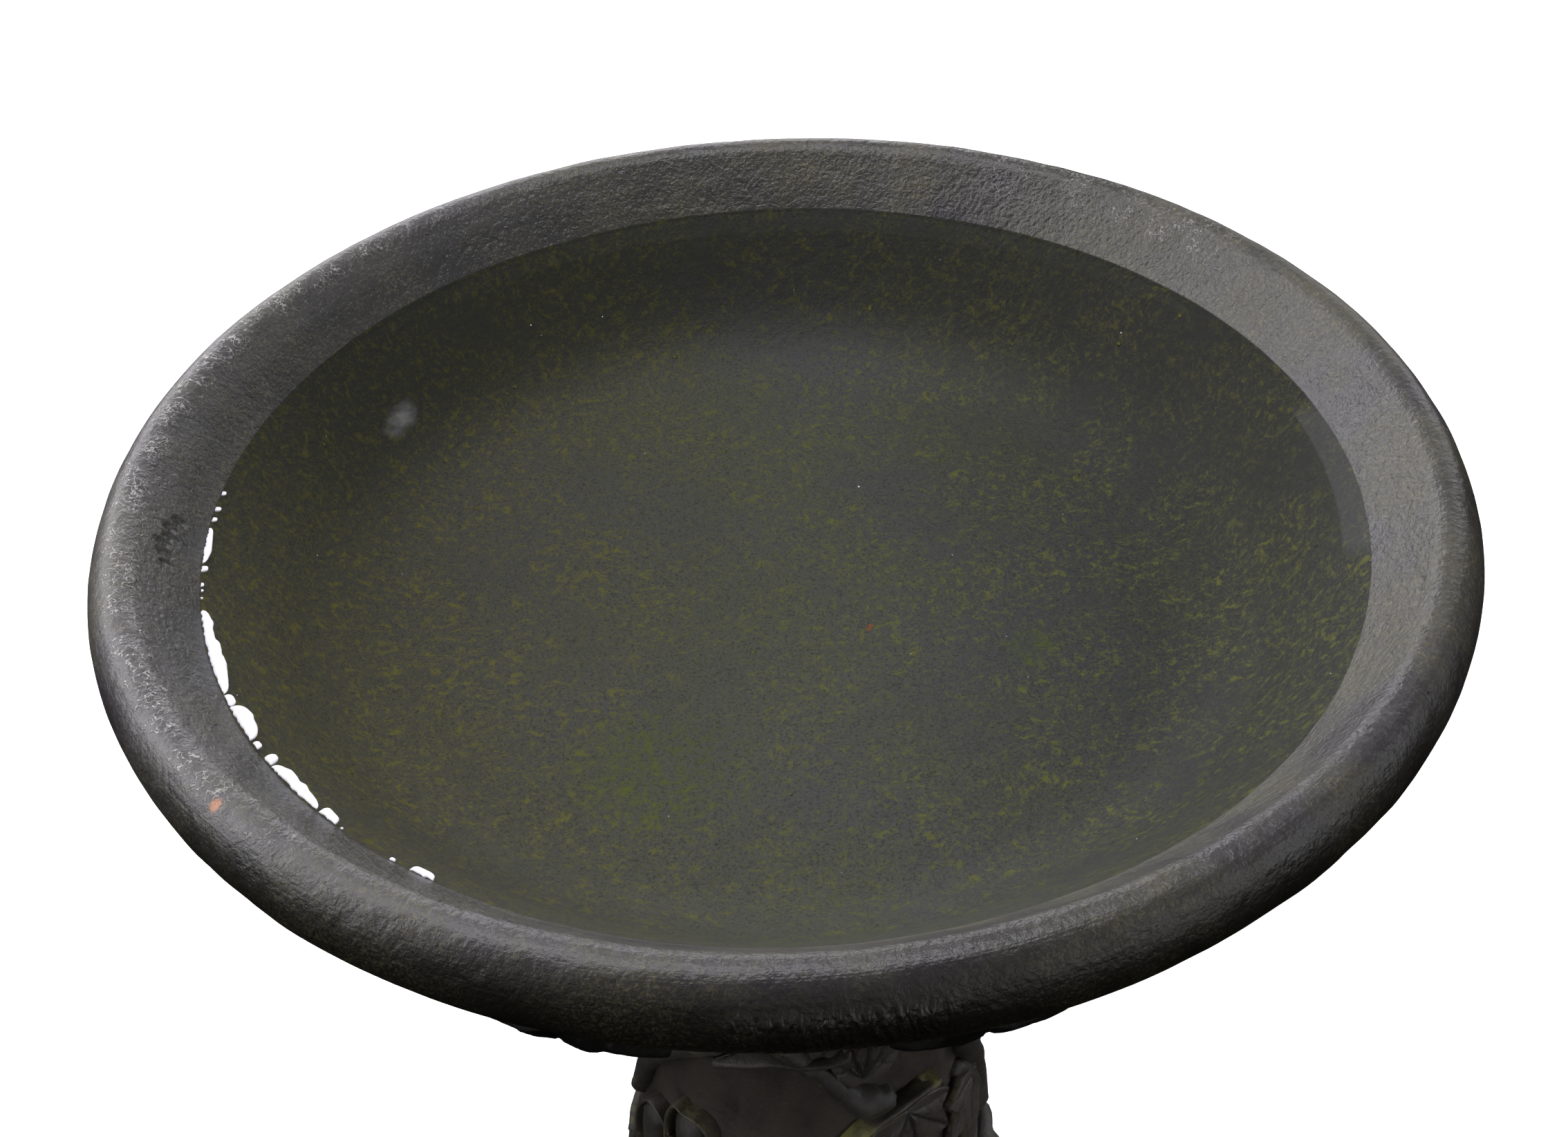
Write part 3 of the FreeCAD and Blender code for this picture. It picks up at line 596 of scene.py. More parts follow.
def stem_skin(stations, radius, seed, knots=(), stand=0.0):
    """A tube of the given radius on the column, whose middle stands that far off the wall. Its bark is a
    random field drawn out along the stem, knots (degrees and height in mm, swell) thicken it within 8 mm,
    and its first and last parts sink below the wall. Where it stands off, its under half reaches down to the
    wall as a fin, so no gap shows below it."""
    p = np.array(stations, float)
    length = np.sum(np.hypot(np.radians(np.diff(p[:, 0])) * 0.09, np.diff(p[:, 1]) / 1000))
    path = smooth_path(stations, max(12, int(length / 0.0016)))
    share = np.linspace(0, 1, len(path))
    dive = (1 - smooth_step(np.minimum(share, 1 - share) * length, 0, 2 * radius)) * (2.3 * radius + stand)
    thick = radius * (1 + 0.10 * soft_noise(np.outer(share * length, [1, 0, 0]), 0.02, seed))
    turn, z = np.radians(path[:, 0]), path[:, 1] / 1000
    for azimuth, height, swell in knots:
        away = np.hypot(np.radians(path[:, 0] - azimuth) * 0.085, z - height / 1000)
        thick = thick * (1 + swell * np.exp(-((away / 0.008) ** 2)))
    sunk = 0.15 * radius + stand - dive
    middle = on_column(0.0, z, turn * column_radius(z), 0.0, sunk)
    out = np.column_stack([np.sin(turn), -np.cos(turn), 0 * share])
    along = np.gradient(middle, axis=0)
    along /= np.linalg.norm(along, axis=1, keepdims=True)
    side = np.cross(along, out)
    side /= np.linalg.norm(side, axis=1, keepdims=True)
    face = np.cross(side, along)
    s = np.arange(28) * 2 * np.pi / 28
    drawn_out = share[:, None] * length * 0.25
    strip = np.stack(np.broadcast_arrays(drawn_out, 0.007 * np.cos(s), 0.007 * np.sin(s)), -1)
    bark = soft_noise(strip, 0.0024, seed + 1)
    ring = thick[:, None] * (1 + 0.045 * bark + 0.05 * soft_noise(strip, 0.006, seed + 2))
    tall = np.sin(s) * np.where(np.sin(s) < 0, 1 + 1.3 * max(stand, 0.0) / radius, 1.0)
    across = np.cos(s)[:, None] * side[:, None]
    grid = middle[:, None] + ring[..., None] * (across + tall[:, None] * face[:, None])
    points, faces = closed_skin(grid[:, ::-1], middle[0], middle[-1])
    high = (0.45 + 0.35 * np.sin(s)[None, :] + 0.25 * bark)[:, ::-1]
    return points, faces, with_poles(np.clip(high, 0, 1), 0, 0)


# %% Stems: radius in mm, then points as degrees from the front and height in mm. Knots add a swell.
STEMS = [
    (5.0, [(-70, 441), (-46, 398), (-20, 362), (-3, 336), (5, 320), (12, 304), (19, 294), (27, 289)]),
    (6.5, [(150, 47), (128, 123), (146, 190), (186, 237), (214, 294), (200, 360), (172, 441)]),
    (7.0, [(36, 441), (46, 380), (54, 330), (60, 298), (66, 274), (75, 245), (80, 215), (78, 190)]),
    (6.5, [(-150, 47), (-130, 104), (-122, 171), (-134, 228), (-128, 284), (-122, 370), (-118, 441)]),
    (6.0, [(-60, 47), (-40, 95), (-6, 114), (30, 137), (66, 152), (98, 156)]),
    (5.0, [(-24, 334), (-40, 316), (-54, 294), (-64, 272), (-71, 246), (-82, 214)]),
    (4.5, [(60, 262), (64, 254), (80, 213), (100, 166), (110, 118), (98, 52)]),
]
STEM_KNOTS = [((20, 298, 0.80),), ((146, 190, 0.25),), ((66, 274, 0.15),), ((-122, 171, 0.25),),
              ((-6, 114, 0.25),), (), ((80, 213, 0.3),)]
stalk_r = 0.0022


def stalk_stations(azimuth, z, turn, length):
    """A stalk from a leaf's foot, 0.36 of its length below its middle, to the nearest point of any stem,
    with a bow on the way."""
    a, r = math.radians(turn), float(column_radius(z / 1000))
    back = 0.36 * length
    foot = np.array([azimuth - math.degrees(back / 1000 * math.sin(a) / r), z - back * math.cos(a)])
    way = np.vstack([smooth_path(stem, 200) for _, stem in STEMS])
    apart = np.hypot(np.radians((way[:, 0] - foot[0] + 180) % 360 - 180) * r * 1000, way[:, 1] - foot[1])
    reach = way[np.argmin(apart)].copy()
    reach[0] = foot[0] + (reach[0] - foot[0] + 180) % 360 - 180
    bow = foot + 0.5 * (reach - foot) - [0.25 * math.degrees(0.1 * math.sin(a)), 3 * math.cos(a)]
    return [tuple(foot + 0.12 * (foot - reach)), tuple(foot), tuple(bow), tuple(reach)]


first_stand, bud_stand = 0.002, -0.004
stems = [stem_skin(stem, r / 1000, 110 + 5 * k, STEM_KNOTS[k], first_stand * (k == 0))
         for k, (r, stem) in enumerate(STEMS)]
stems += [stem_skin(stalk_stations(*leaf[:4]), stalk_r, 150 + 5 * k) for k, leaf in enumerate(COLUMN_LEAVES)]
stems += [stem_skin([(-62, 190), (-61, 226), (-57, 250)], 0.0100, 260, (), bud_stand),
          stem_skin([(-41, 200), (-41, 242), (-41, 271)], 0.0105, 263, (), bud_stand)]
points, faces, stands = joined(stems)
vine_stems = new_piece("vine_stems", points, faces, high=stands)
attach(vine_stems, "pedestal")
print("stems and stalks: %d with %d faces" % (len(stems), len(faces)))

# %% [markdown]
# Where a leaf's edge stands up from the stone it is a thin raised rib, and there the wax was rubbed off to
# its brightest. Two hooded buds at the left have such ribs round their mouths.

# %% Turned-up edges: radius and stand-off in mm, share of wax, points as degrees from the front and height
EDGES = [
    (1.4, 6.5, 0.42, [(-29, 322), (-25, 326), (-17, 330.5), (-9, 334.5), (-3, 334), (4, 333), (9, 333.5),
                      (14, 336)]),
    (1.9, 6.5, 1.00, [(4, 254), (10, 265), (16.4, 275), (24, 281), (32, 284.5), (40, 285), (46, 281)]),
    (0.8, 6.0, 0.70, [(-70, 196), (-69, 222), (-63, 243), (-58, 251), (-52.5, 250), (-48, 240)]),
    (0.9, 6.5, 0.80, [(-50, 232), (-49, 256), (-45, 271), (-41, 270), (-35, 270), (-31.5, 262), (-30, 247)]),
]
ribs = [stem_skin(path, r / 1000, 300 + 3 * k, (), off / 1000) for k, (r, off, _, path) in enumerate(EDGES)]
waxed = np.concatenate([np.full(len(rib[0]), edge[2]) for rib, edge in zip(ribs, EDGES)])
points, faces, _ = joined(ribs)
leaf_edges = new_piece("leaf_edges", points, faces, high=waxed)
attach(leaf_edges, "pedestal")
print("turned-up edges: %d" % len(EDGES))

# %% [markdown]
# ## Leaves under the basin
# The same leaves ring the basin's outer wall. Here up is measured along the wall's profile, from its foot
# towards the rolled rim, and the wall's own normal gives the way out.

# %% Leaves under the basin
under_wall = outside[::-1]
under_along = arc_length(under_wall)
under_normals = left_normals(outside)[::-1]


def on_basin(azimuth, up, across, above, height):
    """A place on the basin's outer wall: up and above run along its profile, across bends round it."""
    s = up + above
    radius, z = (np.interp(s, under_along, under_wall[:, k]) for k in (0, 1))
    out_r, out_z = (np.interp(s, under_along, under_normals[:, k]) for k in (0, 1))
    angle = math.radians(azimuth) + across / np.interp(up, under_along, under_wall[:, 0])
    radius = radius + out_r * height
    return np.stack([radius * np.sin(angle), -radius * np.cos(angle), z + out_z * height], -1)


BASIN_LEAVES = [
    (-22, 12, 65, 11.0), (17, -18, 59, 9.5), (50, 10, 64, 9.0), (82, -14, 63, 8.0), (118, 16, 66, 9.0),
    (155, -10, 63, 8.0), (190, 14, 66, 9.0), (226, -16, 63, 8.0), (262, 12, 66, 9.0), (298, -12, 63, 8.0),
]
leaf_up = float(under_along[-1]) - 0.062
leaves = [laid_leaf(on_basin, azimuth, leaf_up, turn, length / 1000,
                    seed=200 + 2 * k, lift=lift / 1000, droop=0.95)
          for k, (azimuth, turn, length, lift) in enumerate(BASIN_LEAVES)]
points, faces, stands = joined(leaves)
basin_leaves = new_piece("basin_leaves", points, faces, high=stands)
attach(basin_leaves, "bowl")
print("leaves under the basin: %d" % len(leaves))

# %% [markdown]
# ## Finishes
# Each finish is a small network of nodes. The two classes below keep the cells short. One makes a node,
# sets its plain values and joins its inputs. The other lets a node's output be added and multiplied.


# %% Node helpers
def arithmetic(operation, swapped=False):
    """A method that adds one arithmetic node, so that values can be written like numbers."""
    def method(self, other=0.0):
        return self.nodes.math(operation, *((other, self) if swapped else (self, other)))
    return method


class Value:
    """A node's output. Values are added, multiplied and compared like numbers. a | b is the larger one."""

    def __init__(self, nodes, output):
        self.nodes, self.output = nodes, output

    __add__ = arithmetic("ADD")
    __sub__, __rsub__ = arithmetic("SUBTRACT"), arithmetic("SUBTRACT", swapped=True)
    __mul__ = arithmetic("MULTIPLY")
    __lt__, __gt__ = arithmetic("LESS_THAN"), arithmetic("GREATER_THAN")
    __or__, __abs__ = arithmetic("MAXIMUM"), arithmetic("ABSOLUTE")

    def ramp(self, start, end, low=0.0, high=1.0):
        """Runs smoothly from low to high while the value goes from start to end."""
        settings = {"interpolation_type": "SMOOTHSTEP"}
        return self.nodes.node("MapRange", settings, i0=self, i1=start, i2=end, i3=low, i4=high)

    def window(self, centre, half, fade):
        """1 within half of the centre, and 0 from that far plus the fade."""
        return abs(self - centre).ramp(half + fade, half)


def light(tone):
    """Three screen values from 0 to 255 as linear light. A value or a linear colour stays as it is."""
    if isinstance(tone, Value) or len(tone) == 4:
        return tone
    c = np.array(tone) / 255
    c = np.where(c <= 0.04045, c / 12.92, ((c + 0.055) / 1.055) ** 2.4)
    return (*c.tolist(), 1.0)


class Nodes:
    """Short ways to add nodes to a node tree."""

    def __init__(self, tree):
        self.tree = tree

    def join(self, socket, value):
        """Gives a socket a plain value, or joins it to another node's output."""
        if isinstance(value, Value):
            self.tree.links.new(value.output, socket)
        else:
            socket.default_value = value

    def node(self, kind, settings=None, out=0, **inputs):
        """One output of a new node. Inputs named i0, i1 and so on are counted; the others go by name."""
        made = self.tree.nodes.new("ShaderNode" + kind)
        for key, value in (settings or {}).items():
            setattr(made, key, value)
        for key, value in inputs.items():
            self.join(made.inputs[int(key[1:]) if key[1:].isdigit() else key], value)
        return Value(self, made.outputs[out])

    def math(self, operation, a, b=0.0):
        return self.node("Math", {"operation": operation}, i0=a, i1=b)

    def vector(self, operation, a, b=(0, 0, 0)):
        """Vector arithmetic. A length or a distance comes out as a number."""
        out = "Value" if operation in ("LENGTH", "DISTANCE") else "Vector"
        return self.node("VectorMath", {"operation": operation}, out, i0=a, i1=b)

    def split(self, vector):
        """The x, y and z of a vector."""
        first = self.node("SeparateXYZ", Vector=vector)
        return [Value(self, output) for output in first.output.node.outputs]

    def stretched(self, vector, x, y, z):
        """A vector with each part multiplied by its own number."""
        return self.vector("MULTIPLY", vector, (x, y, z))

    def warped(self, vector, scale, amount):
        """A vector shifted by a slow random swirl."""
        swirl = self.node("TexNoise", out="Color", Vector=vector, Scale=scale, Detail=2.0)
        return self.vector("ADD", vector, self.stretched(swirl, amount, amount, amount))

    def noise(self, vector, scale, detail, rough):
        return self.node("TexNoise", out="Fac", Vector=vector, Scale=scale, Detail=detail, Roughness=rough)

    def strands(self, vector, scale, half):
        """Thin winding lines: places where a random field passes through its middle value."""
        return self.noise(vector, scale, 2.0, 0.5).window(0.5, half * 0.4, half * 0.6)

    def dots(self, vector, scale, size, share):
        """Round spots, one in each cell of a loose pattern, in the given share of the cells."""
        apart = self.node("TexVoronoi", out="Distance", Vector=vector, Scale=scale)
        number = self.split(Value(self, apart.output.node.outputs["Color"]))[0]
        return apart.ramp(size, size * 0.6) * (number > 1 - share)

    def spot(self, vector, centre, reach):
        """1 at a place and 0 beyond a distance from it."""
        return self.vector("DISTANCE", vector, centre).ramp(reach, reach * 0.35)

    def mix(self, share, a, b):
        return self.node("Mix", {"data_type": "RGBA"}, 2, i0=share, i6=light(a), i7=light(b))

    def coats(self, base, *coats):
        """A base colour under thin coats, each given as how much of it lands, and its own colour."""
        for share, tone in coats:
            base = self.mix(share, base, tone)
        return base


class Finish(Nodes):
    """A material with its main shader, and the place of each point."""

    def __init__(self, name):
        self.material = bpy.data.materials.new(name)
        self.material.use_nodes = True
        super().__init__(self.material.node_tree)
        self.shader = self.tree.nodes["Principled BSDF"]
        self.place = self.node("TexCoord", out="Object")

    def set(self, **inputs):
        for key, value in inputs.items():
            self.join(self.shader.inputs[key.replace("_", " ")], value)

    def bump(self, height):
        """A surface normal from a height in metres."""
        return self.node("Bump", Height=height, Distance=1.0)


# %% [markdown]
# ### Basin stone
# The stone was dyed charcoal and sealed to a satin sheen. Olive wax was rubbed on and caught on the high
# points. The sealer ran in places and dried as a net of fine ridges on the crest; on the left and back crest
# the net is also painted near white, a painted highlight of the lights on its ridges. The trowel left lines
# round the rim, and the front of the roll has short upright wrinkles where the mould's skin creased. The
# top of the left crest is painted lighter as a highlight, the inner wall is a little darker all round, the
# left inner wall and the front of the roll are painted darker as shade, and pits are painted near black as
# the shade inside them.

# %% Basin finish: where things are
stone = Finish("basin_stone")
place = stone.place
x, y, z = stone.split(place)
level = stone.node("CombineXYZ", X=x, Y=y)
radius, turn = stone.vector("LENGTH", level), stone.vector("NORMALIZE", level)
bearing = stone.math("ARCTAN2", y, x)
along_wall = stone.node("Attribute", {"attribute_name": "along"}, "Fac")
wet = (z < water_z + 0.0004) * (along_wall < crest_along)
wall_start = float(basin_along[len(inside)])
inner_wall = along_wall.ramp(wall_start - 0.045, wall_start - 0.015)
inner_wall = inner_wall * along_wall.ramp(crest_along + 0.002, crest_along - 0.010)
leftward, rightward = x.ramp(0.05, -0.20), x.ramp(-0.02, 0.20)
print("the dry stone starts %.1f mm below the crest" % ((rim_top - water_z) * 1000))

# %% Basin finish: random fields
mottle = stone.noise(place, 22.0, 5.0, 0.62)
patches = stone.noise(place, 7.0, 2.0, 0.5)
lumps = stone.noise(stone.warped(place, 60.0, 0.010), 95.0, 2.0, 0.5)
crinkle = stone.noise(stone.warped(place, 240.0, 0.003), 480.0, 2.0, 0.55)
grit = stone.noise(place, 1500.0, 2.0, 0.65)
round_the_rim = stone.node("CombineXYZ", X=along_wall * 9.0)
round_the_rim = stone.vector("ADD", round_the_rim, stone.stretched(turn, 0.06, 0.06, 0.06))
lines = stone.noise(round_the_rim, 110.0, 3.0, 0.6)
specks = stone.noise(stone.warped(place, 90.0, 0.006), 900.0, 4.0, 0.70)
nodules = stone.dots(stone.warped(place, 300.0, 0.002), 85.0, 0.11, 0.10)
swirled = stone.warped(place, 45.0, 0.016)
threads = stone.strands(swirled, 430.0, 0.045) * stone.noise(place, 480.0, 2.0, 0.5).ramp(0.46, 0.54)

# %% Basin finish: the crest's ridge net with its painted highlight, where the skin creased, the painted highlight on the left crest top, the shaded front of the roll, and where wax and dirt lie
left_crest = along_wall.window(crest_along - 0.002, 0.004, 0.007) * x.ramp(-0.12, -0.20)
back_crest = along_wall.window(crest_along - 0.008, 0.008, 0.008) * bearing.window(0.85, 0.20, 0.15)
# Real raised ridges on the left and back crest, also painted near white below as a painted highlight of the
# lights on them.
ridge_and_glint_band = (left_crest + back_crest * 0.45) * lumps.ramp(0.42, 0.55)
ridge_net_and_glints = stone.strands(stone.warped(place, 300.0, 0.002), 330.0, 0.035) * ridge_and_glint_band
creased = bearing.window(-1.53, 0.09, 0.06) * along_wall.window(crest_along + 0.027, 0.007, 0.008)
creases = stone.noise(stone.stretched(stone.warped(place, 90.0, 0.004), 560.0, 560.0, 150.0), 1.0, 1.0, 0.5)
# The top of the left crest, painted lighter below as a highlight of the left light.
crest_top_highlight = along_wall.window(crest_along - 0.003, 0.009, 0.012) * leftward
# The front of the outer roll, painted darker below as shade, with fewer olive flecks there.
shaded_front_roll = along_wall.ramp(crest_along, crest_along + 0.017) * y.ramp(-0.08, -0.20)
rubbed = specks.ramp(0.50, 0.62) * mottle.ramp(0.42, 0.62, 0.1, 0.8)
flecks = threads * mottle.ramp(0.38, 0.58, 0.05, 0.45) * (1.0 - shaded_front_roll * 0.8)
rust = stone.spot(level, (-0.1729, -0.1729, 0), 0.0028) * (z > 0.59)

# %% Basin finish: pits, and a row of chips in the left wall (degrees round it, radius)
CHIPS = [(184.0, 0.2232), (185.6, 0.2251), (187.0, 0.2246), (188.2, 0.2262), (189.5, 0.2255),
         (191.0, 0.2248)]
chips, chip_r = 0.0, 0.0032
shaken = stone.warped(level, 400.0, 0.002)
for degrees, reach in CHIPS:
    middle = (reach * math.cos(math.radians(degrees)), reach * math.sin(math.radians(degrees)), 0)
    chips = stone.spot(shaken, middle, chip_r) * inner_wall | chips
# Pits and chips are painted near black below, as the shade inside them.
pits = stone.dots(place, 75.0, 0.06, 0.10) | chips

# %% Basin finish: dry stone
tint = stone.noise(place, 11.0, 3.0, 0.6).ramp(0.40, 0.60)
dark, pale = stone.mix(tint, (48, 45, 50), (47, 46, 39)), stone.mix(tint, (63, 60, 66), (61, 60, 51))
dry = stone.coats(
    stone.mix(mottle.ramp(0.34, 0.66), dark, pale),
    (crinkle.ramp(0.50, 0.60) * 0.35, (74, 72, 72)),
    (lines.ramp(0.52, 0.44) * 0.2, (34, 33, 33)),
    # The inner wall a little darker all round, and the left inner wall, which faces away from the strongest
    # light, painted much darker as shade.
    (inner_wall * 0.25, (38, 37, 36)),
    (leftward * inner_wall * 0.90, (32, 31, 29)),
    # painted highlight on the top of the left crest
    (crest_top_highlight * 0.4, (88, 86, 88)),
    # painted shade on the front of the roll
    (shaded_front_roll * 0.92, (29, 27, 20)),
    (rubbed, (78, 76, 54)),
    (nodules * inner_wall * 0.7, (112, 110, 74)),
    (flecks, (106, 103, 70)),
    # painted highlight on the crest's ridge net
    (ridge_net_and_glints * 0.9, (176, 173, 170)),
    # painted shade inside the pits and chips
    (pits, (12, 11, 10)),
    (rust, (168, 112, 74)),
)

# %% [markdown]
# Under the water the stone looks lavender grey with dark grains. Moss grows on it in soft olive threads
# and tufts, more of them on the left, and a few clumps are bright green. Two rusty grains lie in the middle.
# The right of the floor and the band next to the far wall are painted darker, as shade.

# %% Basin finish: stone under water
tufts = stone.noise(swirled, 250.0, 7.0, 0.77)
grown = stone.noise(place, 24.0, 5.0, 0.65) + leftward * 0.08 + rightward * 0.01
moss = (threads * 0.55 | tufts.ramp(0.51, 0.63)) * grown.ramp(0.36, 0.58, 0.25, 1.0)
# The floor next to the far wall, painted darker below as the wall's shade, with darker moss there.
far_edge_shade = radius.ramp(wall_r - 0.065, wall_r - 0.012) * y.ramp(-0.10, 0.12)
moss_colour = stone.mix(far_edge_shade, stone.mix(leftward, (130, 134, 70), (142, 136, 62)), (98, 96, 46))
clumps = [stone.spot(level, (*middle, 0), reach) * tufts.ramp(0.46, 0.60, 0.05, 0.6)
          for middle, reach in (((-0.0496, -0.0889), 0.042), ((0.0935, -0.0333), 0.016))]
rusty = [stone.spot(level, (*middle, 0), 0.0014) for middle in ((0.0322, -0.0150), (0.0331, -0.0130))]
flooded = stone.coats(
    stone.mix(patches.ramp(0.40, 0.60), (107, 108, 111), (108, 110, 101)),
    (leftward * 0.65, (102, 101, 82)),
    # painted shade on the right of the floor
    (rightward * 0.80, (72, 74, 70)),
    # painted shade next to the far wall
    (far_edge_shade * 0.78, (43, 44, 38)),
    (stone.noise(place, 850.0, 5.0, 0.80).ramp(0.50, 0.60) * 0.62, (54, 55, 53)),
    (moss * 0.95, moss_colour),
    (nodules * 0.7, (128, 130, 62)),
    *[(clump, (104, 118, 50)) for clump in clumps],
    *[(grain, (176, 104, 48)) for grain in rusty],
)

# %% Basin finish: sheen and relief
ridges = (mottle * 0.0016 + lumps * 0.0007 + crinkle * 0.00036 + grit * 0.00011 + lines * 0.00013
          + nodules * 0.0007 + inner_wall * crinkle * 0.0004 + ridge_net_and_glints * 0.0005 + pits * -0.0008
          + creased * creases * 0.0021)
stone.set(Base_Color=stone.mix(wet, dry, flooded), Specular_IOR_Level=0.62 - wet * 0.5,
          Roughness=mottle.ramp(0.3, 0.7, 0.34, 0.46) + ridge_net_and_glints * -0.12, Normal=stone.bump(ridges))
basin.data.materials.append(stone.material)
print("basin stone: %d nodes" % len(stone.tree.nodes))

# %% [markdown]
# ### Water and beads
# Clear still water shows mostly as the things that it reflects. A partly clear dark surface with a sharp
# gloss does this without hiding the floor. Its pale marks are small bubbles, and also painted reflections:
# a milky band along the right edge and a soft patch near the left. The beads are painted near white and
# glow a little, a painted highlight of the light caught in the water's rounded edge.

# %% Water finish
clear = Finish("clear_water")
place = clear.place
x, y, _ = clear.split(place)
level = clear.node("CombineXYZ", X=x, Y=y)
flakes = clear.stretched(clear.warped(place, 500.0, 0.0012), 1.0, 0.62, 1.0)
bubbles = clear.dots(flakes, 95.0, 0.036, 0.16) | clear.dots(flakes, 210.0, 0.042, 0.06)
# A milky band along the right water edge: a painted reflection.
lens = clear.math("ARCTAN2", y, x).window(-0.03, 0.18, 0.06)
lens = lens * clear.vector("LENGTH", level).ramp(wall_r - 0.0095, wall_r - 0.0080) * 0.14
# A soft pale patch near the left: a painted reflection.
gleam = clear.stretched(clear.warped(level, 120.0, 0.008), 1, 0.5, 1)
gleam = clear.spot(gleam, (-0.1490, 0.0305, 0), 0.0090) * 0.30
# Pale marks: bubbles, and the painted reflections.
pale = bubbles | lens | gleam
clear.set(Base_Color=clear.mix(pale, (0.010, 0.011, 0.009, 1), (0.55, 0.55, 0.60, 1)), Roughness=0.03,
          IOR=1.33, Specular_IOR_Level=1.0, Alpha=pale.ramp(0.0, 1.0, 0.35, 1.0),
          Normal=clear.bump(clear.noise(place, 9.0, 1.0, 0.4) * 0.0004))
water.data.materials.append(clear.material)

# The beads are painted near white and glow a little: a painted highlight of the light in the water's edge.
bead_glint = Finish("bead_painted_highlight")
cloud = bead_glint.noise(bead_glint.place, 300.0, 3.0, 0.6)
bead_glint.set(Base_Color=bead_glint.mix(cloud.ramp(0.35, 0.65), (236, 234, 244), (250, 249, 255)),
          Roughness=0.12, IOR=1.33, Emission_Color=(0.93, 0.92, 1.0, 1), Emission_Strength=0.30,
          Normal=bead_glint.bump(cloud * 0.0002))
beads.data.materials.append(bead_glint.material)

# %% [markdown]
# ### Column stone
# The column is the same mix, left darker, and brushed with olive while the hollows were kept black. The
# number stored with the relief says how high each point stands, so the olive lands on edges and ridges.


# %% Column finish: name, pieces, screen colours of hollows, faces and wax, and the most wax
def carved_finish(name, low, high, wax, most_wax):
    """Stone whose hollows are low, whose faces are high, and whose sharpest edges take the wax."""
    made = Finish(name)
    stands = made.node("Attribute", {"attribute_name": "high"}, "Fac")
    broad, fine = made.noise(made.place, 35.0, 4.0, 0.6), made.noise(made.place, 420.0, 4.0, 0.65)
    height = stands + (fine - 0.5) * 0.4
    waxed = height.ramp(0.74, 1.0) * broad.ramp(0.38, 0.60) * most_wax
    relief = broad * 0.0012 + fine * 0.0005 + made.noise(made.place, 1300.0, 2.0, 0.6) * 0.0001
    made.set(Base_Color=made.coats(made.mix(height.ramp(0.12, 0.55), low, high), (waxed, wax)),
             Roughness=fine.ramp(0.3, 0.7, 0.46, 0.62), Specular_IOR_Level=0.30, Normal=made.bump(relief))
    return made.material


# The leaves under the basin take a darker copy of the column stone: painted shade for the shade under the
# basin.
CARVED = [
    ("column_stone", [trunk, *vine_leaves], (18, 16, 14), (45, 41, 36), (88, 84, 52), 0.6),
    ("stem_stone", [vine_stems], (13, 12, 11), (34, 32, 29), (80, 78, 54), 0.40),
    ("edge_stone", [leaf_edges], (15, 13, 11), (40, 37, 30), (100, 98, 52), 0.95),
    ("basin_leaf_stone", [basin_leaves], (12, 11, 10), (25, 23, 21), (48, 45, 34), 0.3),
]
for name, pieces, *tones in CARVED:
    material = carved_finish(name, *tones)
    for piece in pieces:
        piece.data.materials.append(material)


# %% Rubber and steel, for the pieces inside
def plain_finish(nodes, name, dark, light_tone, metallic, low, high, stretch):
    """A finish for the frame's own pieces: two tones blended by a random field, and a matching gloss."""
    made = Finish(name)
    blotch = made.noise(made.stretched(made.place, *stretch), 60.0, 4.0, 0.6)
    made.set(Base_Color=made.mix(blotch.ramp(0.35, 0.65), dark, light_tone), Metallic=metallic,
             Roughness=blotch.ramp(0.3, 0.7, low, high), Normal=made.bump(blotch * 0.0002))
    for node in nodes:
        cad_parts[node].data.materials.clear()
        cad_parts[node].data.materials.append(made.material)


plain_finish(["seat_ring"], "seat_rubber", (24, 24, 24), (40, 39, 38), 0.0, 0.6, 0.8, (1, 1, 1))
plain_finish(["rim_hoop", "column_cage"], "mill_steel", (88, 80, 74), (140, 136, 132), 1.0, 0.4, 0.65,
             (1, 1, 6))

# %% [markdown]
# ## Floor and light
# A pale floor runs under the part. It lights nothing by itself, so the shade under the basin stays deep.
# Large soft boxes stand round it as windows would: the strongest at the left and low at the back, where
# they give the rim its shine, three above, and weaker ones at the right and to the right of the front.
# Four weak narrow lights near the ground show the lower column from the sides and from behind.

# %% Floor
edge = 6.0
corners = [[-edge, -edge, 0], [edge, -edge, 0], [edge, edge, 0], [-edge, edge, 0]]
floor = new_piece("floor", corners, [[0, 1, 2, 3]])
white = Finish("pale_floor")
white.set(Base_Color=(0.9, 0.9, 0.9, 1), Roughness=0.9, Emission_Color=(1, 1, 1, 1), Emission_Strength=0.9)
floor.data.materials.append(white.material)
floor.visible_diffuse = False
floor.visible_glossy = False


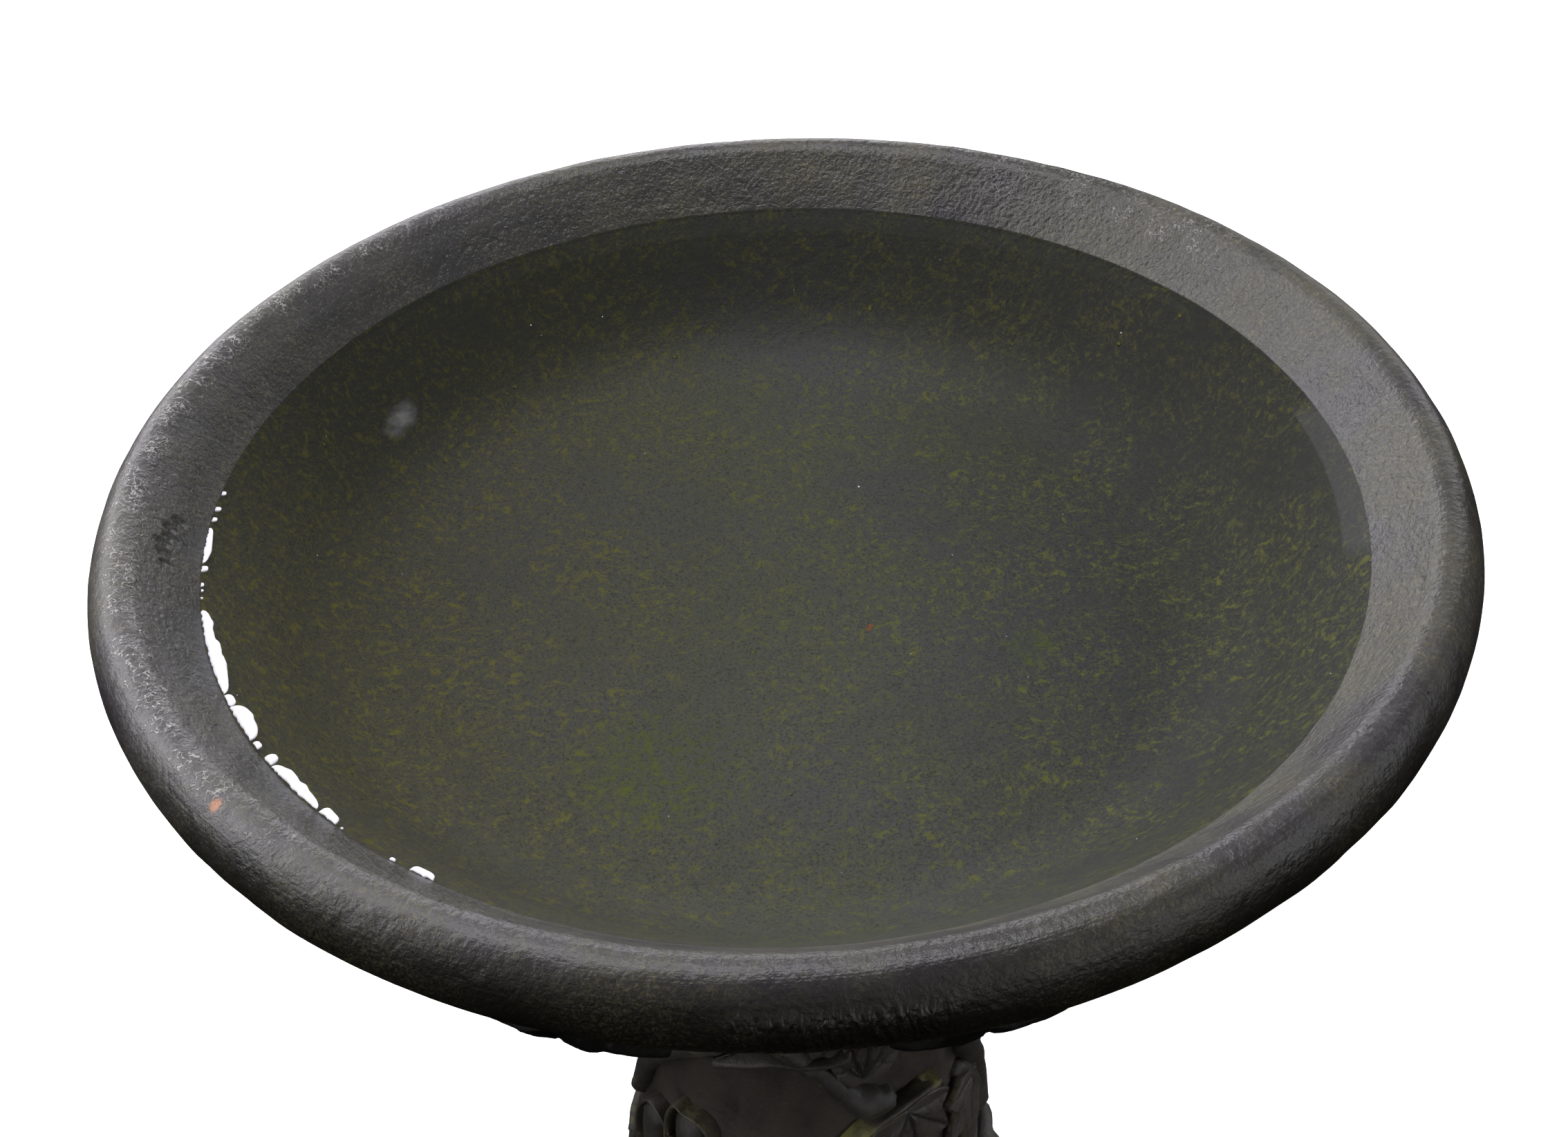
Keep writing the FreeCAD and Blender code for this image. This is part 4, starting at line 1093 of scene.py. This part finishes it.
# %% Lights: name, azimuth, elevation, size in metres, power in watts
def soft_box(name, azimuth, elevation, size, power, distance=2.0):
    """A rectangular light that faces the rim. Azimuth 0 is behind it, and 90 is to the right."""
    a, e = math.radians(azimuth), math.radians(elevation)
    ray = np.array([math.sin(a) * math.cos(e), math.cos(a) * math.cos(e), math.sin(e)])
    data = bpy.data.lights.new(name, "AREA")
    data.shape = "RECTANGLE"
    data.size, data.size_y = size
    data.energy = power
    data.color = (1.0, 0.985, 1.02)
    lamp = bpy.data.objects.new(name, data)
    lamp.rotation_mode = "QUATERNION"
    lamp.rotation_quaternion = Vector(-ray).to_track_quat("-Z", "Y")
    lamp.location = rim_middle + ray * distance
    bpy.context.scene.collection.objects.link(lamp)
    return lamp


SOFT_BOXES = [
    ("back", -18, 13, (2.2, 0.6), 21.0), ("left", -80, 26, (2.2, 1.2), 35.0),
    ("left_front", -118, 12, (1.0, 0.8), 1.5), ("right_back", 38, 14, (0.9, 0.6), 4.5),
    ("right", 105, 18, (1.5, 0.8), 5.5), ("above_back", 0, 80, (1.0, 1.0), 16.0),
    ("above_left", -75, 65, (1.0, 1.0), 10.0), ("above_right", 75, 65, (1.0, 1.0), 3.0),
    ("right_front", 140, 10, (1.6, 1.2), 3.5),
]
for name, *rest in SOFT_BOXES:
    soft_box("light_" + name, *rest)
strip_z, strip_aim, strip_power = 0.30, Vector((0, 0, 0.12)), 0.28
for azimuth in (-140, 20, 80, 150):
    strip = soft_box("light_foot_%d" % (azimuth % 360), azimuth, 0, (0.5, 0.2), strip_power, 1.4)
    strip.location.z = strip_z
    strip.rotation_quaternion = (strip_aim - strip.location).to_track_quat("-Z", "Y")
    strip.data.spread = math.radians(26)
print("soft boxes: %d" % len(SOFT_BOXES))

# %% Room
world = bpy.data.worlds.new("room")
world.use_nodes = True
room = Nodes(world.node_tree)
glow = room.split(room.node("TexCoord", out="Generated"))[2].ramp(-0.02, 0.02, 0.0, 0.10)
seen = room.node("LightPath", out="Is Camera Ray")
background = world.node_tree.nodes["Background"].inputs
room.join(background["Color"], (1, 1, 1, 1))
room.join(background["Strength"], glow * (1.0 - seen) + seen)
bpy.context.scene.world = world
